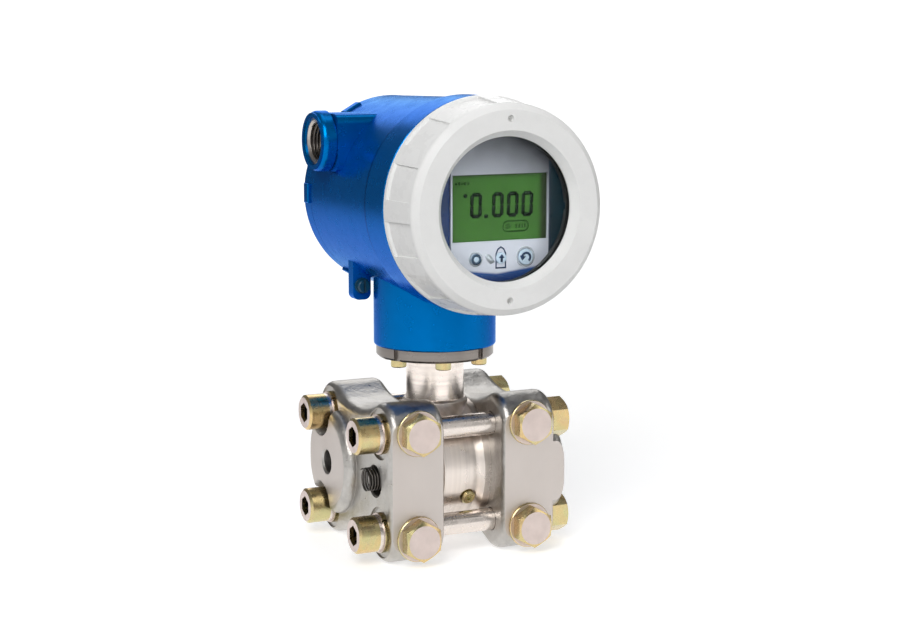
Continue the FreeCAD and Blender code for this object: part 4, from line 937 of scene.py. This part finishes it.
def make_floor():
    """A round floor that curves up into a backdrop, far from the object."""
    work = bmesh.new()
    bend = [math.pi / 2 * i / BEND_STEPS for i in range(1, BEND_STEPS + 1)]
    profile = [(0.9, 0.0), (FLOOR_RADIUS, 0.0)]
    profile += [(FLOOR_RADIUS + BEND_RADIUS * math.sin(a), BEND_RADIUS - BEND_RADIUS * math.cos(a))
                for a in bend]
    profile += [(FLOOR_RADIUS + BEND_RADIUS, WALL_TOP)]
    rows = []
    for radius, rise in profile:
        rows.append([work.verts.new((radius * math.cos(math.tau * i / SECTORS),
                                     radius * math.sin(math.tau * i / SECTORS), rise - FLOOR_DROP))
                     for i in range(SECTORS)])
    centre = work.verts.new((0, 0, -FLOOR_DROP))
    for i in range(SECTORS):
        work.faces.new((centre, rows[0][i], rows[0][(i + 1) % SECTORS]))
    for one, two in zip(rows, rows[1:]):
        for i in range(SECTORS):
            j = (i + 1) % SECTORS
            work.faces.new((one[i], two[i], two[j], one[j]))
    mesh = bpy.data.meshes.new("stage_floor")
    work.to_mesh(mesh)
    work.free()
    for polygon in mesh.polygons:
        polygon.use_smooth = True
    floor = bpy.data.objects.new("stage_floor", mesh)
    bpy.context.scene.collection.objects.link(floor)
    mesh.materials.append(studio_paper("studio_paper", PAPER))


def lamp(name, power):
    """A soft rectangular lamp that points at the middle of the object."""
    place, wide, tall = LAMPS[name]
    data = bpy.data.lights.new(name, "AREA")
    data.energy = power
    data.shape = "RECTANGLE"
    data.size, data.size_y = wide, tall
    made = bpy.data.objects.new(name, data)
    bpy.context.scene.collection.objects.link(made)
    made.location = place
    made.rotation_euler = (AIM - Vector(place)).to_track_quat("-Z", "Y").to_euler()


def make_camera(lens):
    """The camera, at the height of the display and to its left."""
    camera = bpy.data.objects.new("camera", bpy.data.cameras.new("camera"))
    bpy.context.scene.collection.objects.link(camera)
    camera.data.sensor_width = 36
    camera.data.lens = lens / MM
    camera.data.clip_start, camera.data.clip_end = 0.01, 20
    camera.location = CAMERA_PLACE
    camera.rotation_euler = CAMERA_TURN
    bpy.context.scene.camera = camera


def make_room(strength):
    """The light of the room: grey, and darker overhead."""
    world = bpy.data.worlds.new("room")
    bpy.context.scene.world = world
    world.use_nodes = True
    tree = world.node_tree
    back = tree.nodes["Background"]
    upward = node(tree, "SeparateXYZ", {0: node(tree, "TexCoord").outputs["Generated"]}).outputs[2]
    shade = mix_colour(tree, ramp(tree, upward, 0.55, 0.95), ROOM_GREY, ROOM_ABOVE)
    tree.links.new(shade, back.inputs["Color"])
    back.inputs["Strength"].default_value = strength


# ---------------------------------------------------------------- operators
class TRANSMITTER_OT_finishes(bpy.types.Operator):
    """Make every finish and put it on the frame's nodes"""

    bl_idname = "transmitter.finishes"
    bl_label = "Finishes"

    def execute(self, context):
        finishes = make_finishes(context.scene.transmitter_finishes)
        finished = set()
        for name, nodes in NODE_FINISH.items():
            for n in nodes:
                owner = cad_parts[n]
                if not owner.material_slots:
                    owner.data.materials.append(None)
                for held in owner.material_slots:
                    held.material = finishes[name]
                finished.add(n)
        left = set(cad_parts) - finished
        if left:
            raise RuntimeError(f"these nodes have no finish: {sorted(left)}")
        return {"FINISHED"}


class TRANSMITTER_OT_digits(bpy.types.Operator):
    """Add the reading and the small marks on the display"""

    bl_idname = "transmitter.digits"
    bl_label = "Display digits"

    def execute(self, context):
        make_digits(context.scene.transmitter_display)
        make_small_marks(context.scene.transmitter_display)
        return {"FINISHED"}


class TRANSMITTER_OT_keys(bpy.types.Operator):
    """Add the printed rings and marks of the three keys"""

    bl_idname = "transmitter.keys"
    bl_label = "Key marks"

    def execute(self, context):
        make_key_marks(context.scene.transmitter_display)
        return {"FINISHED"}


class TRANSMITTER_OT_entry_thread(bpy.types.Operator):
    """Add the thread of the open cable entry"""

    bl_idname = "transmitter.entry_thread"
    bl_label = "Entry thread"

    def execute(self, context):
        make_entry_thread(context.scene.transmitter_threads)
        return {"FINISHED"}


class TRANSMITTER_OT_port_threads(bpy.types.Operator):
    """Add the threads of the pressure ports"""

    bl_idname = "transmitter.port_threads"
    bl_label = "Port threads"

    def execute(self, context):
        make_port_threads(context.scene.transmitter_threads)
        return {"FINISHED"}


class TRANSMITTER_OT_stage(bpy.types.Operator):
    """Add the floor, the lamps and the camera"""

    bl_idname = "transmitter.stage"
    bl_label = "Stage"

    def execute(self, context):
        p = context.scene.transmitter_stage
        make_floor()
        make_room(p.sky)
        lamp("key_lamp", p.key_power)
        lamp("fill_lamp", p.fill_power)
        lamp("top_lamp", p.key_power * TOP_SHARE)
        lamp("back_lamp", p.fill_power * BACK_SHARE)
        make_camera(p.lens)
        context.scene.view_settings.view_transform = "Standard"
        return {"FINISHED"}


OPERATORS = (TRANSMITTER_OT_finishes, TRANSMITTER_OT_digits, TRANSMITTER_OT_keys,
             TRANSMITTER_OT_entry_thread, TRANSMITTER_OT_port_threads, TRANSMITTER_OT_stage)
SETTINGS = {"transmitter_finishes": TransmitterFinishes, "transmitter_threads": TransmitterThreads,
            "transmitter_display": TransmitterDisplay, "transmitter_stage": TransmitterStage}


class TRANSMITTER_PT_sidebar(bpy.types.Panel):
    """Lists the pieces and their settings"""

    bl_label = "Transmitter"
    bl_idname = "TRANSMITTER_PT_sidebar"
    bl_space_type = "VIEW_3D"
    bl_region_type = "UI"
    bl_category = "Transmitter"

    def draw(self, context):
        for operator in OPERATORS:
            self.layout.operator(operator.bl_idname)
        for name, group in SETTINGS.items():
            box = self.layout.box()
            for setting in group.__annotations__:
                box.prop(getattr(context.scene, name), setting)


def register():
    """Registers the settings, the operators and the panel."""
    for name, group in SETTINGS.items():
        bpy.utils.register_class(group)
        setattr(bpy.types.Scene, name, bpy.props.PointerProperty(type=group))
    for cls in (*OPERATORS, TRANSMITTER_PT_sidebar):
        bpy.utils.register_class(cls)


def unregister():
    """Takes the settings, the operators and the panel away."""
    for cls in (TRANSMITTER_PT_sidebar, *reversed(OPERATORS)):
        bpy.utils.unregister_class(cls)
    for name, group in reversed(SETTINGS.items()):
        delattr(bpy.types.Scene, name)
        bpy.utils.unregister_class(group)


def main():
    """Builds everything in order."""
    register()
    bpy.ops.transmitter.finishes()
    bpy.ops.transmitter.digits()
    bpy.ops.transmitter.keys()
    bpy.ops.transmitter.entry_thread()
    bpy.ops.transmitter.port_threads()
    bpy.ops.transmitter.stage()


if __name__ == "__main__":
    main()
